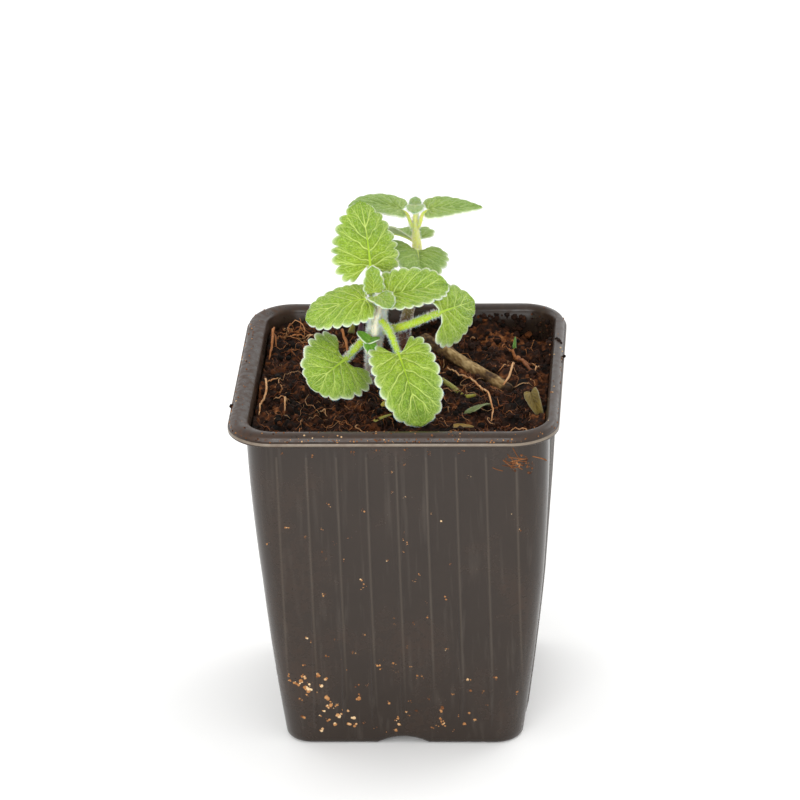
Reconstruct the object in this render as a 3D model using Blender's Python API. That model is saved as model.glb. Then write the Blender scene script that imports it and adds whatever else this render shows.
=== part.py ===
"""Two catmint seedlings in a square plastic nursery pot.

Sizes below are millimetres and degrees, and MM turns them to metres. The origin is the middle of
the pot's foot, X runs to the right, Y away from the front wall and Z up.
"""
import math
import random

import bmesh
import bpy
import numpy as np
from mathutils import Vector, noise

MM = 0.001
GAP = 0.3

# Pot
POT_HEIGHT = 100.0
RIM_HALF = 45.0
RIM_WIDTH = 4.6
RIM_DEPTH = 3.4
WALL_TOP_HALF = 41.1
WALL_FOOT_HALF = 32.9
WALL_SHIFT = 1.1
WALL_BULGE = 1.6
WALL = 1.0
CORNER_FOOT = 7.6
CORNER_TOP = 9.0
RIB_COUNT = 7
RIB_PITCH = 8.1
RIB_WIDTH = 1.3
RIB_HEIGHT = 0.35
FLOOR_UNDERSIDE = 2.3
FLOOR_TOP = 3.4
FOOT_WIDTH = 2.2
ARCH_WIDTH = 14.0
ARCH_HEIGHT = 1.9
DRAIN_RADIUS = 4.0
DRAIN_OFFSET = 17.0

# Compost
LEVEL = 95.0
LEVEL_FALL_FRONT = 0.8
LEVEL_FALL_BACK_RIGHT = 5.0
LEFT_BANK = 1.8
LEFT_BANK_AT = -41.0
LEFT_BANK_REACH = 6.0
CLUMP = dict(x=23.0, y=39.0, rise=3.6, wide=5.5, deep=4.0)
INNER_LEVELS = (90.0, 60.0, 30.0, FLOOR_TOP)
DIMPLE = (10.0, -29.0)
DIMPLE_DEPTH = 1.6
DIMPLE_REACH = 6.0
LUMP_COUNT = 20
FIBRE_COUNT = 12
FIBRE_RADIUS = 0.4
SEED = 22

# Dead twig, half sunk in the compost
TWIG_PATH = ((4.8, 31.2, 94.1), (12.6, 21.3, 93.9), (21.5, 10.0, 93.6), (30.6, -1.4, 93.2))
TWIG_RADIUS = 1.95

# Stems: points of the axis from the foot upwards, and the radius at each
FRONT_STEM = ((-7.6, 1.5, 82.0), (-7.6, 1.5, 96.0), (-7.0, -3.0, 105.5), (-6.2, -5.4, 112.5),
              (-5.3, -6.0, 117.0), (-4.6, -6.0, 120.5), (-4.6, -6.0, 124.3))
FRONT_STEM_RADII = (1.8, 1.8, 1.7, 1.9, 1.9, 1.6, 0.9)
BACK_STEM = ((-0.6, 29.0, 82.0), (-0.6, 29.0, 96.0), (0.6, 29.0, 103.0), (2.6, 29.0, 112.0),
             (3.8, 29.0, 121.0), (3.6, 28.6, 129.5), (3.9, 28.0, 135.3))
BACK_STEM_RADII = (1.6, 1.6, 1.5, 1.4, 1.4, 0.9, 0.6)

# Leaf blades
BLADE = 0.7
TOOTH_SHAPE = 0.62
PLEAT = 0.45
VEIN_SLANT = 0.75
VEIN_START = 0.36
STALK_SIDES = 5

# Each leaf: the stem height where its stalk starts and the side it leaves on, the junction of
# stalk and blade, then the blade's heading, rise and roll, its size, and its form. Lobes are how
# far the blade reaches behind the junction, left and right, and tooth is how deep its teeth cut.
# A stalk with a climb leaves the stem that steeply, the others level.
LEAVES = {
    "front_leaf_low_left": dict(
        stem="front", leaves_at=112.0, joint=(-13.8, -13.0, 108.4), heading=246, rise=2, roll=-42,
        length=15.8, half_width=10.6, lobes=(5.6, 5.2), sinus=1.0, blunt=0.75, bend=0.6, fold=-0.05,
        cup=0.05, teeth=10, tooth=1.25, stalk=0.95),
    "front_leaf_low_right": dict(
        stem="front", leaves_at=113.4, joint=(11.4, -3.0, 117.6), heading=54, rise=-7, roll=57,
        length=16.1, half_width=9.6, lobes=(4.6, 4.2), sinus=1.0, blunt=0.6, bend=0.1, fold=0.0,
        cup=0.3, teeth=10, tooth=1.1, stalk=1.0),
    "front_leaf_mid_front": dict(
        stem="front", leaves_at=117.2, joint=(0.8, -14.0, 110.2), heading=292, rise=-29, roll=4,
        length=22.4, half_width=9.3, lobes=(4.8, 3.8), sinus=0.5, blunt=1.0, bend=0.45, fold=0.12,
        cup=0.0, teeth=11, tooth=1.4, stalk=0.85),
    "front_leaf_mid_back": dict(
        stem="front", leaves_at=117.2, joint=(-7.3, 1.0, 129.9), heading=100, rise=63, roll=12,
        length=19.0, half_width=9.8, lobes=(4.6, 3.2), sinus=0.5, blunt=0.72, bend=0.55, fold=-0.1,
        cup=0.3, teeth=11, tooth=1.9, stalk=0.8),
    "front_leaf_top_left": dict(
        stem="front", leaves_at=121.2, joint=(-8.2, -8.0, 123.9), heading=195, rise=0, roll=-18,
        length=17.5, half_width=8.2, lobes=(1.8, 1.8), sinus=0.2, blunt=0.9, bend=0.65, fold=0.05,
        cup=0.2, teeth=11, tooth=0.95, stalk=0.75),
    "front_leaf_top_right": dict(
        stem="front", leaves_at=122.4, joint=(-2.1, -6.0, 124.1), heading=20, rise=4, roll=22,
        length=17.2, half_width=7.8, lobes=(1.8, 1.8), sinus=0.2, blunt=0.95, bend=0.1, fold=0.25,
        cup=0.05, teeth=11, tooth=0.95, stalk=0.75),
    "back_leaf_top_left": dict(
        stem="back", leaves_at=129.6, climb=58, joint=(0.1, 27.6, 135.2), heading=179, rise=21, roll=4,
        length=15.3, half_width=8.7, lobes=(1.2, 1.2), sinus=0.2, blunt=1.0, bend=0.65, fold=0.1,
        cup=0.05, teeth=9, tooth=0.6, stalk=0.45),
    "back_leaf_top_right": dict(
        stem="back", leaves_at=129.6, climb=58, joint=(7.3, 27.6, 135.2), heading=6, rise=9, roll=2,
        length=15.2, half_width=7.2, lobes=(1.2, 1.2), sinus=0.2, blunt=0.25, bend=0.35, fold=0.05,
        cup=0.0, teeth=9, tooth=0.6, stalk=0.45),
    "back_leaf_mid_front": dict(
        stem="back", leaves_at=121.5, joint=(4.3, 22.4, 125.2), heading=279, rise=3, roll=-14,
        length=16.0, half_width=8.8, lobes=(4.6, 4.8), sinus=0.8, blunt=0.6, bend=0.5, fold=0.25,
        cup=0.2, teeth=9, tooth=0.8, stalk=0.7),
    "back_leaf_mid_back": dict(
        stem="back", leaves_at=121.5, joint=(3.2, 33.1, 123.6), heading=128, rise=2, roll=16,
        length=13.5, half_width=6.6, lobes=(1.8, 1.6), sinus=0.5, blunt=0.5, bend=0.4, fold=0.45,
        cup=0.0, teeth=8, tooth=0.8, stalk=0.6),
}

# Young leaves at each tip: they sit on the stem's end with next to no stalk.
BUD_LEAVES = {
    "front_bud_leaf_back": dict(
        joint=(-6.0, -6.2, 125.2), heading=106, rise=68, roll=4, length=7.4, half_width=3.1,
        lobes=(0.3, 0.3), sinus=0.0, blunt=0.8, bend=-0.3, fold=0.15, cup=-0.1, teeth=5, tooth=0.8),
    "front_bud_leaf_front": dict(
        joint=(-4.9, -8.6, 124.9), heading=304, rise=10, roll=6, length=6.8, half_width=3.6,
        lobes=(0.5, 0.5), sinus=0.0, blunt=0.8, bend=0.7, fold=0.1, cup=-0.1, teeth=6, tooth=0.4),
    "back_bud_leaf_back": dict(
        joint=(3.7, 28.9, 136.2), heading=90, rise=62, roll=0, length=2.3, half_width=1.8,
        lobes=(0.2, 0.2), sinus=0.0, blunt=0.8, bend=0.0, fold=0.1, cup=0.0, teeth=4, tooth=0.2),
    "back_bud_leaf_front": dict(
        joint=(3.9, 27.2, 136.6), heading=270, rise=8, roll=0, length=4.6, half_width=2.7,
        lobes=(0.2, 0.2), sinus=0.0, blunt=0.8, bend=0.5, fold=0.1, cup=0.0, teeth=4, tooth=0.25),
}

# Axil sprig: three tiny leaves on one short stalk, beside the low left leaf's stalk
SPRIG_STALK = ((-7.3, -8.2, 110.4), (-7.6, -9.6, 111.0), (-7.6, -10.6, 112.6))
SPRIG_LEAVES = (
    dict(joint=(-7.7, -10.4, 112.5), heading=150, rise=42, roll=0, length=4.0, half_width=1.9),
    dict(joint=(-7.4, -10.5, 112.3), heading=20, rise=20, roll=0, length=3.2, half_width=1.6),
    dict(joint=(-7.5, -10.6, 112.0), heading=300, rise=-38, roll=0, length=4.2, half_width=2.0),
)


# Mesh helpers

def clear_scene():
    for obj in list(bpy.data.objects):
        bpy.data.objects.remove(obj, do_unlink=True)


def material(name, hex_colour, roughness):
    """A Principled material of one sRGB colour."""
    mat = bpy.data.materials.new(name)
    mat.use_nodes = True
    shader = mat.node_tree.nodes["Principled BSDF"]
    srgb = [int(hex_colour[i:i + 2], 16) / 255 for i in (1, 3, 5)]
    linear = [c / 12.92 if c <= 0.04045 else ((c + 0.055) / 1.055) ** 2.4 for c in srgb]
    shader.inputs["Base Color"].default_value = (*linear, 1.0)
    shader.inputs["Roughness"].default_value = roughness
    shader.inputs["Metallic"].default_value = 0.0
    mat.diffuse_color = (*linear, 1.0)
    return mat


def mesh_object(name, points, faces, mat=None):
    """An object from points in millimetres, its faces all one way round and pointing out."""
    mesh = bpy.data.meshes.new(name)
    mesh.from_pydata([tuple(float(c) * MM for c in p) for p in points], [], faces)
    bm = bmesh.new()
    bm.from_mesh(mesh)
    bmesh.ops.recalc_face_normals(bm, faces=bm.faces)
    if bm.calc_volume(signed=True) < 0:
        bmesh.ops.reverse_faces(bm, faces=bm.faces)
    bm.to_mesh(mesh)
    bm.free()
    obj = bpy.data.objects.new(name, mesh)
    bpy.context.scene.collection.objects.link(obj)
    if mat:
        mesh.materials.append(mat)
    return obj


def apply_modifiers(obj):
    """The object's mesh becomes what its modifiers make of it."""
    evaluated = obj.evaluated_get(bpy.context.evaluated_depsgraph_get())
    mesh = bpy.data.meshes.new_from_object(evaluated)
    obj.modifiers.clear()
    old = obj.data
    obj.data = mesh
    bpy.data.meshes.remove(old)


def combine(obj, others, operation, solver="EXACT"):
    """One Boolean of the object with a collection of others, applied, and the others removed."""
    group = bpy.data.collections.new(obj.name + "_pieces")
    for other in others:
        group.objects.link(other)
    boolean = obj.modifiers.new(operation.title(), "BOOLEAN")
    boolean.operation = operation
    boolean.operand_type = "COLLECTION"
    boolean.collection = group
    boolean.solver = solver
    apply_modifiers(obj)
    for other in others:
        bpy.data.objects.remove(other, do_unlink=True)
    bpy.data.collections.remove(group)


def turned_over(places, face):
    """Whether a triangle runs clockwise in the X-Y plane."""
    (ax, ay), (bx, by), (cx, cy) = (places[v][:2] for v in face)
    return (bx - ax) * (cy - ay) - (by - ay) * (cx - ax) < 0


def zip_rows(row_a, row_b, places, flat=False):
    """Triangles between two rows of vertex numbers that run the same way.

    At each step the row moves on whose next vertex makes the shorter edge across, by the
    vertices' places, and on a flat skin never so that a triangle turns over. A triangle that
    would use one vertex twice is left out.
    """
    faces = []
    i = j = 0
    while i < len(row_a) - 1 or j < len(row_b) - 1:
        if j == len(row_b) - 1:
            step_a = True
        elif i == len(row_a) - 1:
            step_a = False
        else:
            across_a = math.dist(places[row_a[i + 1]], places[row_b[j]])
            across_b = math.dist(places[row_a[i]], places[row_b[j + 1]])
            step_a = across_a <= across_b
            if flat:
                over_a = turned_over(places, (row_a[i], row_a[i + 1], row_b[j]))
                over_b = turned_over(places, (row_a[i], row_b[j + 1], row_b[j]))
                step_a = over_b if over_a != over_b else step_a
        face = (row_a[i], row_a[i + 1], row_b[j]) if step_a else (row_a[i], row_b[j + 1], row_b[j])
        if step_a:
            i += 1
        else:
            j += 1
        if len(set(face)) == 3:
            faces.append(face)
    return faces


def smooth_path(points, steps, curved_ends=False):
    """A smooth curve through the points, steps to each span, by cubic Hermite pieces.

    It leaves each end straight towards the next point, or with curved_ends on a parabola.
    """
    pts = np.array(points, float)
    spans = np.linalg.norm(np.diff(pts, axis=0), axis=1)
    slopes = np.empty_like(pts)
    slopes[0] = (pts[1] - pts[0]) / spans[0]
    slopes[-1] = (pts[-1] - pts[-2]) / spans[-1]
    if len(pts) > 2:
        slopes[1:-1] = (pts[2:] - pts[:-2]) / (spans[1:] + spans[:-1])[:, None]
    if curved_ends:
        slopes[0] = 2 * slopes[0] - slopes[1]
        slopes[-1] = 2 * slopes[-1] - slopes[-2]
    curve = []
    for k, span in enumerate(spans):
        t = np.linspace(0, 1, steps, endpoint=False)[:, None]
        curve.append((2 * t**3 - 3 * t**2 + 1) * pts[k] + (t**3 - 2 * t**2 + t) * span * slopes[k]
                     + (3 * t**2 - 2 * t**3) * pts[k + 1] + (t**3 - t**2) * span * slopes[k + 1])
    return np.concatenate(curve + [pts[-1:]])


def tube(name, path, radii, sides, mat=None, squareness=0.0, first_normal=None):
    """A closed tube of rings along a path.

    Each ring stands square to the path, and its frame is carried on from the last one with no
    twist. Squareness pushes every second corner out, which turns eight sides to a soft square.
    """
    path = np.array(path, float)
    tangents = np.gradient(path, axis=0)
    tangents /= np.linalg.norm(tangents, axis=1)[:, None]
    if first_normal is not None:
        tangents[0] = first_normal
    side = np.cross(tangents[0], (0.0, 0.0, 1.0))
    if np.linalg.norm(side) < 0.3:
        side = np.cross(tangents[0], (0.0, 1.0, 0.0))
    points = []
    for centre, tangent, radius in zip(path, tangents, radii):
        side = side - tangent * np.dot(side, tangent)
        side /= np.linalg.norm(side)
        other = np.cross(tangent, side)
        for k in range(sides):
            angle = 2 * math.pi * k / sides
            reach = radius * (1 + squareness * (k % 2))
            points.append(centre + reach * (math.cos(angle) * side + math.sin(angle) * other))
    faces = []
    for ring in range(len(path) - 1):
        for k in range(sides):
            a = ring * sides + k
            b = ring * sides + (k + 1) % sides
            faces.append((a, b, b + sides, a + sides))
    faces.append(tuple(reversed(range(sides))))
    faces.append(tuple(range((len(path) - 1) * sides, len(path) * sides)))
    return mesh_object(name, points, faces, mat)


# Pot

def wall_half(z):
    """Half the pot's width outside at a height: a taper that bulges and ends upright."""
    share = max(0.0, min(1.0, z / (POT_HEIGHT - RIM_DEPTH)))
    return WALL_FOOT_HALF + (WALL_TOP_HALF - WALL_FOOT_HALF) * (1 - (1 - share) ** WALL_BULGE)


def wall_shift(z):
    """The thin wall sits a little to the right under the rim, and in the middle at its foot."""
    return WALL_SHIFT * min(1.0, z / (0.5 * POT_HEIGHT))


def corner_radius(z):
    return CORNER_FOOT + (CORNER_TOP - CORNER_FOOT) * z / POT_HEIGHT


def square_loop(half, radius, z, corner_points, stations=(), proud=0.0, shift=0.0):
    """A rounded square, with a station (offset along the side, height share) for each rib point."""
    loop = []
    flat = half - radius
    for quarter in range(4):
        turn = quarter * math.pi / 2
        side = [(half + share * proud, offset) for offset, share in stations]
        for k in range(corner_points):
            angle = math.pi / 2 * k / (corner_points - 1)
            side.append((flat + radius * math.cos(angle), flat + radius * math.sin(angle)))
        for x, y in side:
            loop.append((x * math.cos(turn) - y * math.sin(turn) + shift,
                         x * math.sin(turn) + y * math.cos(turn), z))
    return loop


def rib_stations():
    """Foot, crest and foot of each upright rib on one wall."""
    stations = []
    for k in range(RIB_COUNT):
        middle = (k - (RIB_COUNT - 1) / 2) * RIB_PITCH
        stations += [(middle - RIB_WIDTH / 2, 0.0), (middle, 1.0), (middle + RIB_WIDTH / 2, 0.0)]
    return stations


def stack_loops(loops):
    """Vertices, faces and closed rows of a skin through loops that need not have equal counts."""
    points = []
    rows = []
    for loop in loops:
        first = len(points)
        points += loop
        rows.append(list(range(first, first + len(loop))) + [first])
    faces = []
    for row_a, row_b in zip(rows[:-1], rows[1:]):
        if len(row_a) == len(row_b):
            for k in range(len(row_a) - 1):
                faces.append((row_a[k], row_a[k + 1], row_b[k + 1], row_b[k]))
        else:
            faces += zip_rows(row_a, row_b, points)
    return points, faces, rows


def build_pot(mat):
    """Ribbed wall, rolled rim, inner wall and floor as one skin, then the arches and drains."""
    ribs = rib_stations()
    under_rim = POT_HEIGHT - RIM_DEPTH
    loops = []
    for z, proud in ((0.9, 0), (5.0, 0), (6.5, 1), (34.0, 1), (64.0, 1), (91.5, 1), (93.5, 0),
                     (under_rim + 1.2, 0)):
        loops.append(square_loop(wall_half(z), corner_radius(z), z, 5, ribs, proud * RIB_HEIGHT,
                                 wall_shift(z)))
    rim_radius = CORNER_TOP + RIM_HALF - WALL_TOP_HALF
    inner_half = RIM_HALF - RIM_WIDTH
    for half, z in ((RIM_HALF - 0.9, under_rim + 1.2), (RIM_HALF - 0.8, under_rim),
                    (RIM_HALF, under_rim), (RIM_HALF, under_rim + 1.5),
                    (RIM_HALF - 0.7, POT_HEIGHT - 0.6), (RIM_HALF - 1.8, POT_HEIGHT),
                    (inner_half + 0.8, POT_HEIGHT - 0.4), (inner_half, POT_HEIGHT - 1.6)):
        inside = half < WALL_TOP_HALF + 0.2
        loops.append(square_loop(half, rim_radius - (RIM_HALF - half), z, 8,
                                 shift=WALL_SHIFT * inside))
    for z in INNER_LEVELS:
        loops.append(square_loop(wall_half(z) - WALL, corner_radius(z) - WALL, z, 5,
                                 shift=wall_shift(z)))
    foot_in = WALL_FOOT_HALF - FOOT_WIDTH
    under = [square_loop(foot_in - 0.4, CORNER_FOOT - FOOT_WIDTH - 0.4, FLOOR_UNDERSIDE, 5),
             square_loop(foot_in, CORNER_FOOT - FOOT_WIDTH, 0.0, 5),
             square_loop(WALL_FOOT_HALF - 0.4, CORNER_FOOT - 0.4, 0.0, 5)]
    points, faces, rows = stack_loops(under + loops)
    faces += [tuple(rows[0][:-1]), tuple(rows[-1][:-1])]
    pot = mesh_object("pot", points, faces, mat)

    cutters = []
    arch_radius = (ARCH_WIDTH**2 / 4 + ARCH_HEIGHT**2) / (2 * ARCH_HEIGHT)
    reach = WALL_FOOT_HALF + 8
    for along in ((1, 0), (0, 1)):
        ends = [(-reach * along[0], -reach * along[1], ARCH_HEIGHT - arch_radius),
                (reach * along[0], reach * along[1], ARCH_HEIGHT - arch_radius)]
        cutters.append(tube("arch", ends, (arch_radius, arch_radius), 36))
    for x, y in ((0, 0), (1, 1), (1, -1), (-1, 1), (-1, -1)):
        place = (x * DRAIN_OFFSET, y * DRAIN_OFFSET)
        ends = [(*place, FLOOR_UNDERSIDE - 1), (*place, FLOOR_TOP + 1)]
        cutters.append(tube("drain", ends, (DRAIN_RADIUS, DRAIN_RADIUS), 12))
    combine(pot, cutters, "DIFFERENCE")
    return pot


# Compost

def compost_level(x, y):
    """Height of the compost: it dips to the front and most to the back right corner.

    Right and back are 0 to 1 across the pot. It banks up along the left wall and in a clump at
    the back. Knolls and clods are two sizes of noise. A dimple keeps clear of the tip of the mid
    front leaf.
    """
    right = (x / RIM_HALF + 1) / 2
    back = (y / RIM_HALF + 1) / 2
    from_clump = math.hypot((x - CLUMP["x"]) / CLUMP["wide"], (y - CLUMP["y"]) / CLUMP["deep"])
    level = (LEVEL - LEVEL_FALL_FRONT * (1 - back) ** 2
             - LEVEL_FALL_BACK_RIGHT * (right * back) ** 2
             + LEFT_BANK * math.exp(-((x - LEFT_BANK_AT) / LEFT_BANK_REACH) ** 2)
             + CLUMP["rise"] * math.exp(-from_clump**2))
    knolls = noise.noise(Vector((x / 16, y / 16, 3.1)))
    clods = noise.noise(Vector((x / 4.5, y / 4.5, 7.7)))
    away = math.dist((x, y), DIMPLE) / DIMPLE_REACH
    return level + 1.1 * knolls + 1.0 * clods - DIMPLE_DEPTH * math.exp(-away**2)


def build_compost(mat, holes):
    """A block that fills the pot, its top in rings of finer relief, with lumps and fibres on it."""
    side_gap = WALL + GAP + 0.1
    loops = [square_loop(wall_half(FLOOR_TOP + GAP) - side_gap, CORNER_FOOT - side_gap,
                         FLOOR_TOP + GAP, 5, shift=wall_shift(FLOOR_TOP))]
    for z in INNER_LEVELS[2:0:-1]:
        loops.append(square_loop(wall_half(z) - side_gap, corner_radius(z) - side_gap, z, 5,
                                 shift=wall_shift(z)))
    top_half = wall_half(90.0) - side_gap
    top_radius = corner_radius(90.0) - side_gap
    rings = ((1.0, 11, 5), (0.95, 11, 4), (0.87, 11, 4), (0.78, 9, 3), (0.68, 9, 3), (0.57, 7, 3),
             (0.46, 7, 2), (0.34, 5, 2), (0.22, 3, 2), (0.1, 1, 2))
    for scale, stations, corner in rings:
        half = top_half * scale
        radius = max(0.2, top_radius * scale)
        spread = (half - radius) * 0.86
        along = np.linspace(-spread, spread, stations) if stations > 1 else (0.0,)
        loop = square_loop(half, radius, 0.0, corner, [(o, 0) for o in along],
                           shift=WALL_SHIFT)
        loops.append([(x, y, compost_level(x, y)) for x, y, _ in loop])
    points, faces, rows = stack_loops(loops)
    faces.append(tuple(rows[0][:-1]))
    centre = len(points)
    points.append((0.0, 0.0, compost_level(0, 0)))
    last = rows[-1]
    faces += [(last[k], last[k + 1], centre) for k in range(len(last) - 1)]
    compost = mesh_object("compost", points, faces, mat)

    chance = random.Random(SEED)
    added = []
    reach = top_half - 5
    for k in range(LUMP_COUNT):
        x, y = chance.uniform(-reach, reach), chance.uniform(-reach, reach)
        size = chance.uniform(1.2, 2.6)
        bpy.ops.mesh.primitive_ico_sphere_add(subdivisions=1, radius=size * MM)
        lump = bpy.context.object
        lump.name = "lump_%02d" % k
        stretch = Vector((chance.uniform(0.8, 1.5), chance.uniform(0.8, 1.3), 0.7))
        for vertex in lump.data.vertices:
            jitter = 1 + 0.2 * noise.noise(vertex.co * 900 + Vector((k, 0, 0)))
            vertex.co = Vector(c * s * jitter for c, s in zip(vertex.co, stretch))
            vertex.co += Vector((x, y, compost_level(x, y) + 0.1)) * MM
        added.append(lump)
    for k in range(FIBRE_COUNT):
        x, y = chance.uniform(-reach, reach), chance.uniform(-reach, reach)
        turn = chance.uniform(0, 2 * math.pi)
        half_length = chance.uniform(2.5, 5.0)
        rise = chance.uniform(0.8, 2.2)
        sway = chance.uniform(-1.5, 1.5)
        path = []
        for s in np.linspace(-1, 1, 6):
            px = x + half_length * s * math.cos(turn) - sway * s * s * math.sin(turn)
            py = y + half_length * s * math.sin(turn) + sway * s * s * math.cos(turn)
            px, py = max(-reach, min(reach, px)), max(-reach, min(reach, py))
            path.append((px, py, compost_level(px, py) + rise * (1 - s * s) - 0.8 * s * s))
        added.append(tube("fibre_%02d" % k, path, [FIBRE_RADIUS] * 6, 4))
    combine(compost, added, "UNION", "MANIFOLD")
    combine(compost, holes, "DIFFERENCE", "MANIFOLD")
    return compost


# Leaves

def half_outline(length, half_width, lobe, sinus, blunt):
    """Edge of half a blade, from the junction round its basal lobe to the tip.

    A smooth curve through eight points: it swings back by the lobe, is widest near a fifth of
    the length, and closes on the tip, the more roundly the blunter. Sinus, 0 to 1, is how wide
    the bay between the two lobes is.
    """
    w = half_width
    corners = [(0, 0), (-0.45 * lobe * (1 - 0.9 * sinus), (0.14 + 0.13 * sinus) * w),
               (-lobe, (0.46 + 0.18 * sinus) * w), (-0.5 * lobe, (0.84 + 0.08 * sinus) * w),
               (0.22 * length, w), (0.56 * length, (0.66 + 0.28 * blunt) * w),
               (0.86 * length, (0.22 + 0.46 * blunt) * w), (length, 0)]
    return smooth_path([(x, y, 0) for x, y in corners], 12, curved_ends=True)[:, :2]


def leaf_axes(heading, rise, roll):
    """Unit vectors along the midrib, to the leaf's left and out of its upper face."""
    heading, rise, roll = (math.radians(a) for a in (heading, rise, roll))
    along = np.array([math.cos(rise) * math.cos(heading), math.cos(rise) * math.sin(heading),
                      math.sin(rise)])
    level = np.cross((0.0, 0.0, 1.0), along)
    level /= np.linalg.norm(level)
    upper = np.cross(along, level)
    left = math.cos(roll) * level + math.sin(roll) * upper
    return along, left, math.cos(roll) * upper - math.sin(roll) * level


def blade_point(leaf, x, y, lift=0.0):
    """A point of the blade's middle layer, in space, from its place on the flat leaf.

    The cross-section is a fold and a parabola, and the whole is rolled onto an arc along the
    midrib: bend is the angle in radians that the tip turns down by.
    """
    x, y, lift = (np.asarray(v, float) for v in (x, y, lift))
    z = leaf["fold"] * np.abs(y) - leaf["cup"] * y * y / leaf["half_width"] + lift
    curl = leaf["bend"] / leaf["length"]
    if abs(curl) > 1e-6:
        x, z = (np.sin(curl * x) * (1 / curl + z), (np.cos(curl * x) - 1) / curl
                + np.cos(curl * x) * z)
    along, left, upper = leaf_axes(leaf["heading"], leaf["rise"], leaf["roll"])
    return (np.array(leaf["joint"]) + x[..., None] * along + y[..., None] * left
            + z[..., None] * upper)


def blade_faces_point(leaf, x, y, lift):
    """Points of the upper and the lower face, half the thickness from the middle layer."""
    step = 0.05
    centre = blade_point(leaf, x, y)
    ahead = blade_point(leaf, x + step, y) - centre
    aside = blade_point(leaf, x, y + step) - centre
    normal = np.cross(ahead, aside)
    normal /= np.linalg.norm(normal, axis=-1)[..., None]
    middle = blade_point(leaf, x, y, lift)
    return middle + normal * BLADE / 2, middle - normal * BLADE / 2


def build_blade(name, leaf, veins=5):
    """One blade with scalloped edges and pleats between its side veins.

    Each half is three rows between the midrib and the edge. A row's points lie on lines that
    slant from the midrib to the edge, as the side veins do, and the lines of the basal lobes
    all start at the junction. The edge is notched by teeth of a rounded sine.
    """
    length, teeth = leaf["length"], leaf["teeth"]
    phase_end = teeth - 0.5
    edge_at = np.append(np.arange(1, 3 * teeth - 1) / 3, phase_end)[:-1] / phase_end
    inner_rows = ((0.42, np.arange(1, 2 * veins) / (2 * veins)),
                  (0.78, np.arange(1, 4 * veins) / (4 * veins)))
    points_up, points_down, flat = [], [], []

    def add(x, y, lift):
        up, down = blade_faces_point(leaf, np.array(x), np.array(y), np.array(lift))
        first = len(points_up)
        points_up.extend(up)
        points_down.extend(down)
        flat.extend(zip(x, np.abs(y)))
        return list(range(first, first + len(up)))

    base, = add([0.0], [0.0], [0.0])
    tip, = add([length], [0.0], [0.0])
    faces_up, faces_down, rim = [], [], []
    spine_x = np.linspace(0, length, 9)[1:-1]
    midrib = [base] + add(spine_x, 0 * spine_x, 0 * spine_x) + [tip]
    for sign, lobe in ((1, leaf["lobes"][0]), (-1, leaf["lobes"][1])):
        outline = half_outline(length, leaf["half_width"], lobe, leaf["sinus"], leaf["blunt"])
        steps = np.linalg.norm(np.diff(outline, axis=0), axis=1)
        way = np.concatenate([[0], np.cumsum(steps)]) / steps.sum()
        start = VEIN_START * length * leaf["sinus"]
        anchor = np.maximum(start, outline[:, 0] - VEIN_SLANT * outline[:, 1])
        anchor = np.maximum.accumulate(anchor)
        anchor[-1] = length
        slope = np.gradient(outline, axis=0)
        outward = np.stack([-slope[:, 1], slope[:, 0]], 1)
        outward /= np.linalg.norm(outward, axis=1)[:, None] + 1e-9

        def read(table, at):
            return np.interp(at, way, table)

        rows = [midrib]
        for share, at in inner_rows:
            foot = read(anchor, at)
            x = foot + (read(outline[:, 0], at) - foot) * share
            y = read(outline[:, 1], at) * share
            past_lobe = np.clip((at - 0.08) / 0.12, 0, 1)
            pleat = np.sin(np.pi * veins * at) ** 2 * PLEAT * length / 20 * past_lobe
            rows.append([base] + add(x, sign * y, pleat) + [tip])
        scallop = np.abs(np.sin(np.pi * edge_at * phase_end)) ** TOOTH_SHAPE - 1
        vein = outline - np.stack([anchor, 0 * anchor], 1)
        span = np.linalg.norm(vein, axis=1) + 1e-9
        across = np.abs(np.sum(vein * outward, axis=1)) / span
        room = np.clip((span / length - 0.12) / 0.25, 0, 1) * np.clip(1.4 * across - 0.35, 0, 1)
        depth = leaf["tooth"] * scallop * read(room, edge_at)
        x = read(outline[:, 0], edge_at) + depth * read(outward[:, 0], edge_at)
        y = read(outline[:, 1], edge_at) + depth * read(outward[:, 1], edge_at)
        edge = [base] + add(x, sign * y, 0 * x) + [tip]
        rows.append(edge)
        for row_a, row_b in zip(rows[:-1], rows[1:]):
            for face in zip_rows(row_a, row_b, flat, flat=True):
                up = face if sign > 0 else face[::-1]
                faces_up.append(up)
                faces_down.append(up[::-1])
        for a, b in zip(edge[:-1], edge[1:]):
            rim.append((a, b) if sign > 0 else (b, a))
    count = len(points_up)
    faces = faces_up + [tuple(v + count for v in face) for face in faces_down]
    for a, b in rim:
        faces += [(a, b, b + count), (a, b + count, a + count)]
    return mesh_object(name, points_up + points_down, faces)


def stem_at(axis, radii, z):
    """The stem's axis point and radius at a height."""
    path = np.array(axis)
    heights = path[:, 2]
    return (np.array([np.interp(z, heights, path[:, 0]), np.interp(z, heights, path[:, 1]), z]),
            float(np.interp(z, heights, radii)))


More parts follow.
